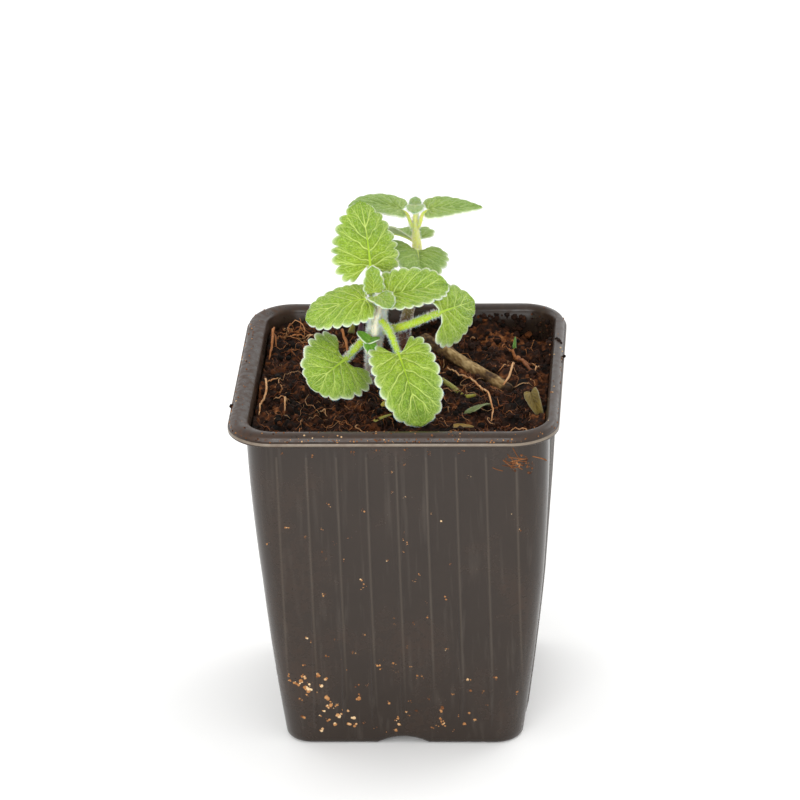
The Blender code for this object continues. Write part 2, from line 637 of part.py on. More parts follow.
def stalk_and_rib(name, leaf, axis, radii):
    """The stalk leaves the stem's side, bends to the blade and runs on as the rib under it."""
    centre, stem_radius = stem_at(axis, radii, leaf["leaves_at"])
    joint = np.array(leaf["joint"])
    away = joint - centre
    away[2] = 0
    away /= np.linalg.norm(away)
    root = centre + away * (stem_radius * 1.12 + GAP)
    along, _, upper = leaf_axes(leaf["heading"], leaf["rise"], leaf["roll"])
    radius = leaf["stalk"]
    sunk = 0.55 * radius
    meet = joint - upper * sunk
    distance = np.linalg.norm(meet - root)
    pull = 0.4 * distance
    climb = math.radians(leaf.get("climb", 0))
    outset = math.cos(climb) * away + math.sin(climb) * np.array([0.0, 0.0, 1.0])
    count = int(np.clip(distance / (1.3 * radius), 2, 7))
    t = np.linspace(0, 1, count)[:, None]
    stalk = ((1 - t)**3 * root + 3 * (1 - t)**2 * t * (root + outset * pull)
             + 3 * (1 - t) * t**2 * (meet - along * pull) + t**3 * meet)
    rib_x = np.linspace(0, 0.82 * leaf["length"], 5)[1:]
    rib = blade_point(leaf, rib_x, 0 * rib_x, np.linspace(-sunk, -0.3, 5)[1:])
    path = np.concatenate([stalk, rib])
    sizes = np.concatenate([np.linspace(1.15, 1.0, count), np.linspace(0.9, 0.42, 4)]) * radius
    return tube(name, path, sizes, STALK_SIDES, first_normal=away)


def build_leaf(name, leaf, mat, axis, radii):
    blade = build_blade(name, leaf)
    blade.data.materials.append(mat)
    combine(blade, [stalk_and_rib(name + "_stalk", leaf, axis, radii)], "UNION")
    return blade


def build_sprig(mat):
    """Three tiny leaves fused to one stalk."""
    leaves = []
    for k, small in enumerate(SPRIG_LEAVES):
        leaf = dict(small, lobes=(0.4, 0.4), sinus=0.0, blunt=0.8, bend=0.4, fold=0.1, cup=0.0,
                    teeth=3, tooth=0.2)
        leaves.append(build_blade("sprig_leaf_%d" % k, leaf, veins=1))
    stalk = tube("front_axil_sprig", smooth_path(SPRIG_STALK, 3), [0.5] * 7, 6, mat)
    combine(stalk, leaves, "UNION", "MANIFOLD")
    return stalk


def build_stem(name, axis, radii, mat):
    path = smooth_path(axis, 2)
    heights = [p[2] for p in axis]
    sizes = [float(np.interp(p[2], heights, radii)) for p in path]
    return tube(name, path, sizes, 8, mat, squareness=0.1)


def stem_hole(axis, radii):
    """A plain round hole round the stem's foot, open at the top."""
    foot = np.array(axis[0])
    ends = [foot - (0, 0, GAP), foot + (0, 0, axis[1][2] - foot[2] + 6)]
    return tube("stem_hole", ends, [radii[0] * 1.12 + GAP + 0.1] * 2, 12)


def twig_sizes(count, extra=0.0):
    """The twig is thickest at its two old knots."""
    share = np.linspace(0, 1, count)
    knots = 0.22 * np.exp(-((share - 0.3) / 0.06)**2) + 0.18 * np.exp(-((share - 0.85) / 0.05)**2)
    return list(TWIG_RADIUS * (1 - 0.15 * share) * (1 + knots) + extra)


def build_all():
    clear_scene()
    pot_plastic = material("pot_plastic", "#4a433c", 0.5)
    compost_mat = material("compost_coir", "#35241a", 0.95)
    twig_wood = material("twig_wood", "#85714a", 0.85)
    stem_skin = material("stem_skin", "#d9dfb6", 0.6)
    back_stem_skin = material("back_stem_skin", "#c5d48a", 0.6)
    leaf_green = material("leaf_green", "#8fb940", 0.6)
    back_leaf_green = material("back_leaf_green", "#87a74c", 0.6)

    build_pot(pot_plastic)
    twig_path = smooth_path(TWIG_PATH, 4)
    tube("old_twig", twig_path, twig_sizes(len(twig_path)), 8, twig_wood)
    groove = tube("groove", smooth_path(
        [np.array(TWIG_PATH[0]) - (0.4, -0.4, 0), *TWIG_PATH[1:-1],
         np.array(TWIG_PATH[-1]) + (0.4, -0.4, 0)], 4),
        twig_sizes(len(twig_path), GAP + 0.15), 8)
    holes = [groove, stem_hole(FRONT_STEM, FRONT_STEM_RADII),
             stem_hole(BACK_STEM, BACK_STEM_RADII)]
    build_compost(compost_mat, holes)
    build_stem("front_stem", FRONT_STEM, FRONT_STEM_RADII, stem_skin)
    build_stem("back_stem", BACK_STEM, BACK_STEM_RADII, back_stem_skin)
    for name, leaf in LEAVES.items():
        front = leaf["stem"] == "front"
        build_leaf(name, leaf, leaf_green if front else back_leaf_green,
                   FRONT_STEM if front else BACK_STEM,
                   FRONT_STEM_RADII if front else BACK_STEM_RADII)
    for name, leaf in BUD_LEAVES.items():
        bud = build_blade(name, leaf, veins=3)
        bud.data.materials.append(leaf_green if name.startswith("front") else back_leaf_green)
    build_sprig(leaf_green)


build_all()
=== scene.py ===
"""Two young catmint shoots in a square plastic nursery pot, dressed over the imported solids.

Each section makes the finished surface of one real piece, in millimetres and in the place of its
solid. MM turns them to metres. X runs to the right, Y away from the front wall and Z up.
"""
import itertools
import math

import bpy
import numpy as np
from mathutils import Matrix, Vector


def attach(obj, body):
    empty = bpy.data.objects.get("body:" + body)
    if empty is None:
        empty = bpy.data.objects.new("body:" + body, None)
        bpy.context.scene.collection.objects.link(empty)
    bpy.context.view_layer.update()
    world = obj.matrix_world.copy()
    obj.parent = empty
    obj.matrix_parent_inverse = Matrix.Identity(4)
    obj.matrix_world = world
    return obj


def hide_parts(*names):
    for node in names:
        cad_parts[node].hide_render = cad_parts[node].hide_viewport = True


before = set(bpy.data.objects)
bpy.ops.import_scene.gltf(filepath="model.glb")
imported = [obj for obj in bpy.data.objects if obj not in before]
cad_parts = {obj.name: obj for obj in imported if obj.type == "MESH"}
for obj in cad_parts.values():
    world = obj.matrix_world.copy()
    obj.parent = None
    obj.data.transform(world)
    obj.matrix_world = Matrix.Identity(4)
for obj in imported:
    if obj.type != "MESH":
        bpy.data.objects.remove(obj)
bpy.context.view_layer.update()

# Camera
# A long lens about a metre and a half away, a little above the pot and to the right of its front
# wall, and held slightly turned.
MM = 0.001
CAMERA_AIM = (-0.24, 0.0, 89.9)
CAMERA_DISTANCE = 1510.0
AZIMUTH = math.radians(4.1)
ELEVATION = math.radians(24.9)
ROLL = math.radians(-1.86)
SENSOR = 36.0
LENS = 245.7

back = np.array([math.sin(AZIMUTH) * math.cos(ELEVATION),
                 -math.cos(AZIMUTH) * math.cos(ELEVATION), math.sin(ELEVATION)])
level_right = np.array([math.cos(AZIMUTH), math.sin(AZIMUTH), 0.0])
level_up = np.cross(back, level_right)
right = math.cos(ROLL) * level_right + math.sin(ROLL) * level_up
up = math.cos(ROLL) * level_up - math.sin(ROLL) * level_right
eye = (np.array(CAMERA_AIM) + back * CAMERA_DISTANCE) * MM
camera_data = bpy.data.cameras.new("camera")
camera_data.sensor_width = SENSOR
camera_data.lens = LENS
camera = bpy.data.objects.new("camera", camera_data)
camera.matrix_world = Matrix([[*row, place] for row, place in
                              zip(np.stack([right, up, back], axis=1), eye)] + [[0, 0, 0, 1]])
bpy.context.scene.collection.objects.link(camera)
bpy.context.scene.camera = camera

# Studio
# A white light tent over a plain white table, brighter behind the plant and to its right, so
# that the leaves glow and the pot's front stays dark. One soft box stands in front of it and
# two behind.
TENT_FRONT = 0.82
TENT_BACK = 1.4
TENT_BRIGHT_SIDE = (0.6, 0.79, 0.1)
TABLE_REACH = 4000.0
BOX_AIM = Vector((0, 0, 0.1))
SOFT_BOXES = {
    "box_front": dict(place=(-350, -1400, 420), size=900, watts=15.0),
    "box_back_right": dict(place=(1000, 800, 700), size=700, watts=3.0),
    "box_back_left": dict(place=(-1000, 700, 600), size=700, watts=1.5),
}


def linear(hex_colour):
    """A hex sRGB colour as linear red, green, blue and alpha 1."""
    srgb = np.array([int(hex_colour[i:i + 2], 16) for i in (1, 3, 5)]) / 255
    rgb = np.where(srgb <= 0.04045, srgb / 12.92, ((srgb + 0.055) / 1.055) ** 2.4)
    return (*map(float, rgb), 1.0)


def set_inputs(node, inputs):
    """Gives a shader node's inputs, named or numbered, a value, hex colour or output each."""
    for key, value in inputs.items():
        if isinstance(value, bpy.types.NodeSocket):
            node.id_data.links.new(value, node.inputs[key])
        else:
            node.inputs[key].default_value = linear(value) if isinstance(value, str) else value


def add_node(tree, kind, inputs=(), out=0, **settings):
    """One output of a new shader node. Its inputs are given in their order or by key."""
    node = tree.nodes.new("ShaderNode" + kind)
    for key, value in settings.items():
        setattr(node, key, value)
    set_inputs(node, inputs if isinstance(inputs, dict) else dict(enumerate(inputs)))
    return node.outputs[out]


def new_material(name):
    """A named material, its tree of nodes and its Principled shader."""
    material = bpy.data.materials.new(name)
    material.use_nodes = True
    return material, material.node_tree, material.node_tree.nodes["Principled BSDF"]


def make_mesh(name, points, faces, material, smooth=True, **layers):
    """An object at the origin from points in millimetres, with a number per point in each layer."""
    mesh = bpy.data.meshes.new(name)
    mesh.from_pydata(np.asarray(points) * MM, [], faces)
    mesh.polygons.foreach_set("use_smooth", np.full(len(faces), smooth))
    for key, values in layers.items():
        layer = mesh.attributes.new(key, "FLOAT", "POINT")
        layer.data.foreach_set("value", np.asarray(values, np.float32))
    if material:
        mesh.materials.append(material)
    made = bpy.data.objects.new(name, mesh)
    bpy.context.scene.collection.objects.link(made)
    return made


table_paint, _, paint = new_material("table_white_paint")
set_inputs(paint, {"Base Color": "#fbfbfa", "Roughness": 0.9})
table_corners = [(x * TABLE_REACH, y * TABLE_REACH, -0.1)
                 for x, y in ((-1, -1), (1, -1), (1, 1), (-1, 1))]
table = make_mesh("table", table_corners, [(0, 1, 2, 3)], table_paint)

tent = bpy.data.worlds.new("light_tent")
tent.use_nodes = True
tent_tree = tent.node_tree
heading = add_node(tent_tree, "TexCoord", out="Generated")
bright_side = add_node(tent_tree, "VectorMath", (heading, TENT_BRIGHT_SIDE), "Value",
                       operation="DOT_PRODUCT")
glow = add_node(tent_tree, "MapRange", (bright_side, -0.7, 0.8, TENT_FRONT, TENT_BACK))
set_inputs(tent_tree.nodes["Background"], {"Color": "#ffffff", "Strength": glow})
bpy.context.scene.world = tent
bpy.context.scene.view_settings.view_transform = "Standard"
for name, box in SOFT_BOXES.items():
    light = bpy.data.lights.new(name, "AREA")
    light.size = box["size"] * MM
    light.energy = box["watts"]
    lamp = bpy.data.objects.new(name, light)
    lamp.location = [c * MM for c in box["place"]]
    lamp.rotation_mode = "QUATERNION"
    lamp.rotation_quaternion = (BOX_AIM - lamp.location).to_track_quat("-Z", "Y")
    bpy.context.scene.collection.objects.link(lamp)

# Pot
# A 9 cm nursery pot, vacuum-formed from recycled polypropylene: a thin tapered wall with seven
# fine upright ribs a side, a rolled rim with a small lip, four low arches under its foot and five
# drain holes in its floor.
POT_HEIGHT = 100.0
RIM_HALF = 45.0
RIM_WIDTH = 4.6
RIM_DEPTH = 3.4
LIP_HEIGHT = 1.3
ROLL_INSET = 0.55
WALL_TOP_HALF = 41.1
WALL_FOOT_HALF = 32.9
WALL_SHIFT = 1.1
WALL_BULGE = 1.6
WALL = 1.0
CORNER_FOOT = 7.6
CORNER_TOP = 9.0
RIB_COUNT = 7
RIB_PITCH = 8.1
RIB_REACH = 0.9
RIB_WIDTH = 0.45
RIB_HEIGHT = 0.42
RIB_FOOT = 5.0
RIB_FADE_IN = 2.0
RIB_TOP = 91.0
RIB_FADE_OUT = 2.5
# Painted highlights: a lighter line along each rib's crest above the foot, and one round the outer
# edge of the lip, for the light these edges catch.
RIB_HIGHLIGHT = 0.08
RIB_HIGHLIGHT_LEVELS = (12.0, 32.0, 92.0)
LIP_HIGHLIGHT = 0.48
LIP_HIGHLIGHT_HALF = 0.38
LIP_CORNER = 11.5
FILM_LEVELS = (95.5, 99.0)
FILM_LEFT_END = -42.0
FLOOR_UNDERSIDE = 2.3
FLOOR_TOP = 3.4
FOOT_WIDTH = 2.2
ARCH_WIDTH = 14.0
ARCH_HEIGHT = 1.9
DRAIN_RADIUS = 4.0
DRAIN_SIDES = 28
DRAIN_OFFSET = 17.0
UNDER_RIM = POT_HEIGHT - RIM_DEPTH
RIM_CORNER = CORNER_TOP + RIM_HALF - WALL_TOP_HALF
LIP_HIGHLIGHT_LEVEL = UNDER_RIM + 0.65 * LIP_HEIGHT
# Round the lip: inset from the rim's widest, and rise above its underside.
LIP_PROFILE = ((0.95, 1.2), (0.8, 0.15), (0.6, 0.0), (0.12, 0.0), (0.0, 0.12), (0.0, 1.12),
               (0.07, 1.22), (0.16, 1.25))


def ease(share):
    """0 below 0, 1 above 1, and a smooth S between."""
    share = np.clip(share, 0, 1)
    return share * share * (3 - 2 * share)


def unit(vectors):
    """Vectors scaled to length 1."""
    return vectors / (np.linalg.norm(vectors, axis=-1, keepdims=True) + 1e-12)


def wall_half(z):
    """Half the pot's width outside at a height: a taper that bulges and ends upright."""
    share = np.clip(z / UNDER_RIM, 0, 1)
    return WALL_FOOT_HALF + (WALL_TOP_HALF - WALL_FOOT_HALF) * (1 - (1 - share) ** WALL_BULGE)


def wall_shift(z):
    """The thin wall sits a little to the right under the rim, and in the middle at its foot."""
    return WALL_SHIFT * np.minimum(1.0, z / (0.5 * POT_HEIGHT))


def corner_radius(z):
    """Radius of the pot's round corners at a height."""
    return CORNER_FOOT + (CORNER_TOP - CORNER_FOOT) * z / POT_HEIGHT


def columns(*parts):
    """Numbers or arrays side by side along a new last axis, stretched to one shape."""
    return np.stack(np.broadcast_arrays(*parts), axis=-1)


def square_ring(half, radius, z, ribs=0.0, shift=0.0, foot=0.0):
    """One closed ring of the pot, a square with round corners.

    A side is a straight run and a quarter circle. On the run each rib is a bell curve across, and
    where the ring is part of the foot it rises by the arch: a circle through the arch's ends and
    top. The other sides are the first one turned by quarter turns.
    """
    flat = half - radius
    centres = (np.arange(RIB_COUNT) - (RIB_COUNT - 1) / 2) * RIB_PITCH
    across = RIB_REACH * np.sin(np.linspace(-math.pi / 2, math.pi / 2, 9))
    between = np.linspace(RIB_REACH, RIB_PITCH - RIB_REACH, 6)[1:-1]
    run = np.sort(np.concatenate([(centres[:, None] + across).ravel(),
                                  (centres[:-1, None] + between).ravel()]))
    from_rib = run - RIB_PITCH * np.round(run / RIB_PITCH)
    turn = np.linspace(0, math.pi / 2, 15)
    x = np.concatenate([half + ribs * np.exp(-(from_rib / RIB_WIDTH) ** 2),
                        flat + radius * np.cos(turn)])
    y = np.concatenate([run, flat + radius * np.sin(turn)])
    bend = (ARCH_WIDTH ** 2 / 4 + ARCH_HEIGHT ** 2) / (2 * ARCH_HEIGHT)
    arch = ARCH_HEIGHT - bend + np.sqrt(bend ** 2 - np.minimum(np.abs(y), ARCH_WIDTH / 2) ** 2)
    height = z + foot * arch
    sides = [(x, y), (-y, x), (-x, -y), (y, -x)]
    return np.concatenate([columns(sx + shift, sy, height) for sx, sy in sides])


def ring_faces(rings, count):
    """Triangles of a skin through stacked rings, and a fan that closes each end."""
    k, j = np.meshgrid(np.arange(rings - 1), np.arange(count), indexing="ij")
    a = (k * count + j).ravel()
    b = (k * count + (j + 1) % count).ravel()
    edge = np.arange(count)
    after = (edge + 1) % count
    last = (rings - 1) * count
    ends = rings * count
    return np.concatenate([columns(a, b, b + count), columns(a, b + count, a + count),
                           columns(ends, after, edge), columns(ends + 1, last + edge, last + after)])


def sweep(paths, radii, sides, reference=(0.0, 0.0, 1.0)):
    """Closed tubes along many paths at once, as one set of points and triangles.

    Ring k of a tube lies in the plane square to the path. Point j is the path's point plus the
    radius times cos(2 pi j / sides) of one axis and sin of the other, where the first axis is the
    cross product of the path's direction and the reference.
    """
    paths = np.asarray(paths, float)
    count, rings = paths.shape[:2]
    tangent = unit(np.gradient(paths, axis=1))
    first = unit(np.cross(tangent, np.asarray(reference, float)))[:, :, None]
    second = np.cross(tangent, first[:, :, 0])[:, :, None]
    angle = 2 * math.pi * np.arange(sides)[:, None] / sides
    reach = np.asarray(radii, float).reshape(count, rings, -1, 1)
    ring = first * np.cos(angle) + second * np.sin(angle)
    skin = (paths[:, :, None] + reach * ring).reshape(count, -1, 3)
    points = np.concatenate([skin, paths[:, :1], paths[:, -1:]], axis=1)
    faces = ring_faces(rings, sides) + (np.arange(count) * (rings * sides + 2))[:, None, None]
    return points.reshape(-1, 3), faces.reshape(-1, 3)


def place(made, slot, *nodes):
    """The piece rides on the part and stands for its solids, which it hides. slot is not used."""
    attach(made, "root")
    if nodes:
        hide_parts(*nodes)


def rim_roll(turn):
    """Inset from the lip and height above its underside, over the roll from 0 to pi.

    It is half a round-shouldered arch: the cosine sets the inset, a root of the sine the height.
    """
    middle = (ROLL_INSET + RIM_WIDTH) / 2
    inset = middle - (RIM_WIDTH - ROLL_INSET) / 2 * np.cos(turn)
    return inset, LIP_HEIGHT + (RIM_DEPTH - LIP_HEIGHT) * np.abs(np.sin(turn)) ** 0.7


def pot_rings():
    """Foot, ribbed wall, lip, rolled rim and inner wall, from the underside round to the inside."""
    foot_in = WALL_FOOT_HALF - FOOT_WIDTH
    rings = [
        square_ring(foot_in - 0.4, CORNER_FOOT - FOOT_WIDTH - 0.4, FLOOR_UNDERSIDE),
        square_ring(foot_in - 0.1, CORNER_FOOT - FOOT_WIDTH, 0.35, foot=0.9),
        square_ring(foot_in + 0.3, CORNER_FOOT - FOOT_WIDTH, 0.0, foot=1.0),
        square_ring(WALL_FOOT_HALF - 0.9, CORNER_FOOT - 0.9, 0.0, foot=1.0),
        square_ring(WALL_FOOT_HALF - 0.3, CORNER_FOOT - 0.3, 0.25, foot=0.95)]
    levels = np.concatenate([[0.9, 2.2, 3.6, 5.0], np.linspace(6.0, 90.0, 29),
                             [91.2, 92.4, 93.6, 95.0, 96.4, UNDER_RIM + 1.2]])
    for z in levels:
        ribs = (RIB_HEIGHT * ease((z - RIB_FOOT) / RIB_FADE_IN)
                * (1 - ease((z - RIB_TOP) / RIB_FADE_OUT)))
        rings.append(square_ring(wall_half(z), corner_radius(z), z, ribs, wall_shift(z),
                                 foot=max(0.0, 1 - z / 9.0) * 0.9))
    for inset, rise in LIP_PROFILE:
        rings.append(square_ring(RIM_HALF - inset, RIM_CORNER - inset, UNDER_RIM + rise))
    for turn in np.linspace(0, math.pi, 17):
        inset, rise = rim_roll(turn)
        rings.append(square_ring(RIM_HALF - inset, RIM_CORNER - inset, UNDER_RIM + rise,
                                 shift=WALL_SHIFT * float(ease((inset - 2.0) / 2.6))))
    for z in (97.2, 94.0, 90.0, 60.0, 30.0, FLOOR_TOP):
        rings.append(square_ring(wall_half(z) - WALL, corner_radius(z) - WALL, z,
                                 shift=wall_shift(z)))
    return rings


def cut_drains(made):
    """Five round holes through the floor."""
    places = [(x * DRAIN_OFFSET, y * DRAIN_OFFSET) for x, y in
              ((0, 0), (1, 1), (1, -1), (-1, 1), (-1, -1))]
    paths = [[(x, y, FLOOR_UNDERSIDE - 1), (x, y, FLOOR_TOP + 1)] for x, y in places]
    drill = make_mesh("drill", *sweep(paths, np.full((len(paths), 2), DRAIN_RADIUS), DRAIN_SIDES,
                                      (1, 0, 0)), None)
    cut = made.modifiers.new("drains", "BOOLEAN")
    cut.object = drill
    evaluated = made.evaluated_get(bpy.context.evaluated_depsgraph_get())
    drained = bpy.data.meshes.new_from_object(evaluated)
    made.modifiers.clear()
    made.data = drained
    bpy.data.objects.remove(drill)


def pot_polypropylene():
    """Recycled black-brown polypropylene: satin, with faint upright drag marks and a film of
    dried mud that is thickest on the rim and near the foot.

    Drag marks are 1.4 mm wide and 50 mm long, clouds 22 mm and mud specks 1.7 mm. A painted
    highlight lightens the crest of each rib above the foot, and the edge of the lip at the corners.
    """
    material, tree, shader = new_material("pot_polypropylene")
    where = add_node(tree, "TexCoord", out="Object")
    stretched = add_node(tree, "Mapping", {0: where, "Scale": (700, 700, 20)})
    drag = add_node(tree, "TexNoise", {0: stretched, "Scale": 1.0, "Detail": 4.0})
    cloud = add_node(tree, "TexNoise", {0: where, "Scale": 45.0, "Detail": 6.0, "Roughness": 0.65})
    speckle = add_node(tree, "TexNoise", {0: where, "Scale": 600.0, "Detail": 5.0})
    shade = add_node(tree, "Mix", {0: cloud, 6: "#211812", 7: "#2d231b"}, 2, data_type="RGBA")
    scuff = add_node(tree, "MapRange", (drag, 0.55, 0.85, 0.0, 0.16))
    scuffed = add_node(tree, "Mix", {0: scuff, 6: shade, 7: "#6d655c"}, 2, data_type="RGBA")

    centred = add_node(tree, "VectorMath", (where, (WALL_SHIFT * MM, 0, 0)), operation="SUBTRACT")
    sizes = add_node(tree, "VectorMath", (centred,), operation="ABSOLUTE")
    across, deep, height = add_node(tree, "SeparateXYZ", (sizes,)).node.outputs
    nearer = add_node(tree, "Math", (across, deep), operation="MINIMUM")
    from_rib = add_node(tree, "Math", (nearer, RIB_PITCH / 2 * MM), operation="PINGPONG")
    # Painted highlight along each rib's crest.
    on_rib = add_node(tree, "MapRange", (from_rib, 0.0, RIB_WIDTH * MM, RIB_HIGHLIGHT, 0.0))
    low, full, top = (level * MM for level in RIB_HIGHLIGHT_LEVELS)
    above_foot = add_node(tree, "MapRange", (height, low, full))
    below_rim = add_node(tree, "Math", (height, top), operation="LESS_THAN")
    on_wall = add_node(tree, "Math", (above_foot, below_rim), operation="MULTIPLY")
    ribbed = add_node(tree, "Math", (on_rib, on_wall), operation="MULTIPLY")
    # Painted highlight: a thin light line round the lip's outer edge.
    at_lip = add_node(tree, "Math", (height, LIP_HIGHLIGHT_LEVEL * MM, LIP_HIGHLIGHT_HALF * MM),
                      operation="COMPARE")
    flat = (WALL_TOP_HALF - CORNER_TOP) * MM
    over = add_node(tree, "VectorMath", (sizes, (flat, flat, 1.0)), operation="SUBTRACT")
    past_flat = add_node(tree, "VectorMath", (over, (0.0, 0.0, 0.0)), operation="MAXIMUM")
    from_corner = add_node(tree, "VectorMath", (past_flat,), "Value", operation="LENGTH")
    outmost = add_node(tree, "Math", (from_corner, LIP_CORNER * MM), operation="GREATER_THAN")
    lip = add_node(tree, "Math", (at_lip, outmost), operation="MULTIPLY")
    painted_highlight = add_node(tree, "Math", (lip, LIP_HIGHLIGHT, ribbed), operation="MULTIPLY_ADD")
    # The painted highlights are mixed in as a light grey-brown.
    highlighted = add_node(tree, "Mix", {0: painted_highlight, 6: scuffed, 7: "#a39583"}, 2, data_type="RGBA")

    sideways = add_node(tree, "SeparateXYZ", (where,))
    leftward = add_node(tree, "MapRange", (sideways, FILM_LEFT_END * MM, 0.0, 0.8, 0.45))
    on_rim = add_node(tree, "MapRange", (height, FILM_LEVELS[0] * MM, FILM_LEVELS[1] * MM, 0.0,
                                         leftward))
    patch = add_node(tree, "MapRange", (cloud, 0.5, 0.75, 0.0, 0.4))
    mask = add_node(tree, "Math", (on_rim, patch), operation="ADD")
    dotted = add_node(tree, "MapRange", (speckle, 0.3, 0.72))
    film = add_node(tree, "Math", (mask, dotted), operation="MULTIPLY", use_clamp=True)
    muddy = add_node(tree, "Mix", {0: film, 6: highlighted, 7: "#412816"}, 2, data_type="RGBA")
    rough = add_node(tree, "MapRange", (film, 0.0, 1.0, 0.25, 0.75))
    relief = add_node(tree, "Bump", {"Height": drag, "Strength": 0.1, "Distance": 0.0003})
    set_inputs(shader, {"Base Color": muddy, "Roughness": rough, "Normal": relief, "IOR": 1.49,
                        "Specular IOR Level": 0.4})
    return material


rings = pot_rings()
count = len(rings[0])
pot_points = np.concatenate(rings + [[(0, 0, FLOOR_UNDERSIDE), (0, 0, FLOOR_TOP)]])
pot = make_mesh("pot_shell", pot_points, ring_faces(len(rings), count), pot_polypropylene())
cut_drains(pot)
place(pot, "pot_plastic", "pot")

# Compost
# Moist coir and peat, almost black, crumbly on top. It fills the pot to a few millimetres below
# the rim, and lies lower towards the back right corner.
LEVEL = 95.0
LEVEL_FALL_FRONT = 0.8
LEVEL_FALL_BACK_RIGHT = 5.0
LEFT_BANK = 1.8
BACK_CLUMP = dict(x=23.0, y=39.0, rise=3.6, wide=5.5, deep=4.0)
BED_GAP = 1.4
BED_SIDE_LEVELS = (90.0, 60.0, 30.0, FLOOR_TOP + 0.3)
BED_STEPS = 200
DIMPLE = (10.0, -29.0)
DIMPLE_REACH = 6.0
DIMPLE_DEPTH = 1.6
DIMPLE_CLEAR = 5.0
CRUMB_COUNT = 2060
CRUMB_SIZES = (0.22, 1.32)
TWIG_BED = ((4.8, 31.2), (30.6, -1.4))
TWIG_BED_LEVEL = 92.7
TWIG_CLEAR = 2.6
HASH_FACTORS = np.array([73856093, 19349663, 83492791])
chance = np.random.default_rng(7)


def cell_numbers(cells, seed):
    """A random number from 0 to 1 for each whole-number cell, by mixing its bits."""
    mixed = (cells * HASH_FACTORS[:cells.shape[-1]]).sum(axis=-1) + seed * 7919
    mixed = ((mixed ^ (mixed >> 15)) * 2246822519) & 0xFFFFFFFF
    mixed = ((mixed ^ (mixed >> 13)) * 3266489917) & 0xFFFFFFFF
    return ((mixed ^ (mixed >> 16)) & 0xFFFFF) / 0xFFFFF


def smooth_noise(places, seed=0):
    """Noise from -1 to 1: random numbers at lattice corners, blended by S-curves between them."""
    cell = np.floor(places).astype(np.int64)
    share = ease(places - cell)
    total = 0.0
    for corner in itertools.product((0, 1), repeat=places.shape[-1]):
        weight = np.prod(np.where(np.array(corner) == 1, share, 1 - share), axis=-1)
        total = total + weight * (2 * cell_numbers(cell + np.array(corner), seed) - 1)
    return total


def from_twig(x, y):
    """Level distance from the line that the old twig lies along."""
    a, b = np.array(TWIG_BED)
    run = b - a
    share = np.clip(((x - a[0]) * run[0] + (y - a[1]) * run[1]) / (run @ run), 0, 1)
    return np.hypot(x - a[0] - share * run[0], y - a[1] - share * run[1])


def bed_height(x, y):
    """Height of the compost: it falls to the front and the back right, banks up against the left
    wall and in a clump at the back, and has knolls, clods and crumbs.

    Knolls and clods are noise 16 and 5 mm wide, crumbs its absolute value at 2 and 1.2 mm, which
    is stretched along two slants so that they look like shreds, and grains are noise of 0.6 mm.
    Near the dimple under the mid front leaf's tip it is smooth, and no higher than the twig's
    middle where that lies.
    """
    share_right, share_back = (x / RIM_HALF + 1) / 2, (y / RIM_HALF + 1) / 2
    clump = BACK_CLUMP["rise"] * np.exp(-((x - BACK_CLUMP["x"]) / BACK_CLUMP["wide"]) ** 2
                                        - ((y - BACK_CLUMP["y"]) / BACK_CLUMP["deep"]) ** 2)
    level = (LEVEL - LEVEL_FALL_FRONT * (1 - share_back) ** 2
             - LEVEL_FALL_BACK_RIGHT * (share_right * share_back) ** 2
             + LEFT_BANK * np.exp(-((x + 41) / 6) ** 2) + clump)
    flat = columns(x, y)
    near = np.exp(-((x - DIMPLE[0]) ** 2 + (y - DIMPLE[1]) ** 2) / DIMPLE_REACH ** 2)
    slanted = columns(x + 0.6 * y, 0.35 * (y - 0.5 * x))
    crossed = columns(0.4 * (x + 0.4 * y), y - 0.7 * x)
    relief = (1.1 * smooth_noise(flat / 16, 1) + 1.3 * smooth_noise(flat / 5, 2)
              + 1.6 * np.abs(smooth_noise(slanted / 2.0, 3))
              + 1.0 * np.abs(smooth_noise(crossed / 1.2, 5)) - 1.0
              + 0.35 * smooth_noise(flat / 0.6, 4))
    height = level + relief * (1 - 0.8 * near) - DIMPLE_DEPTH * near
    bank = TWIG_BED_LEVEL + 0.7 * np.maximum(0, from_twig(x, y) - 1.5)
    return np.minimum(height, bank)


def square_reach(angle, half, radius):
    """Distance from the middle to a round-cornered square's edge, in a direction.

    On a straight run it is the half width over the larger of cos and sin. Past the run it is
    where the ray meets the corner's circle, by the quadratic formula.
    """
    c, s = np.abs(np.cos(angle)), np.abs(np.sin(angle))
    straight = half / np.maximum(c, s)
    flat = half - radius
    middle = flat * (c + s)
    round_part = middle + np.sqrt(np.maximum(0.0, middle ** 2 - 2 * flat ** 2 + radius ** 2))
    return np.where(straight * np.minimum(c, s) <= flat, straight, round_part)


def bed_spot(a, b):
    """From a place in the square -1 to 1 to its place on the round-cornered bed."""
    angle = np.arctan2(b, a)
    top = BED_SIDE_LEVELS[0]
    reach = square_reach(angle, wall_half(top) - BED_GAP, corner_radius(top) - BED_GAP)
    far = np.maximum(np.abs(a), np.abs(b)) * reach
    return far * np.cos(angle) + WALL_SHIFT, far * np.sin(angle)


def grid_faces(rows, across):
    """Triangles of a grid of points, numbered row by row."""
    a = (np.arange(rows - 1)[:, None] * across + np.arange(across - 1)).ravel()
    return np.concatenate([columns(a, a + 1, a + across + 1),
                           columns(a, a + across + 1, a + across)])


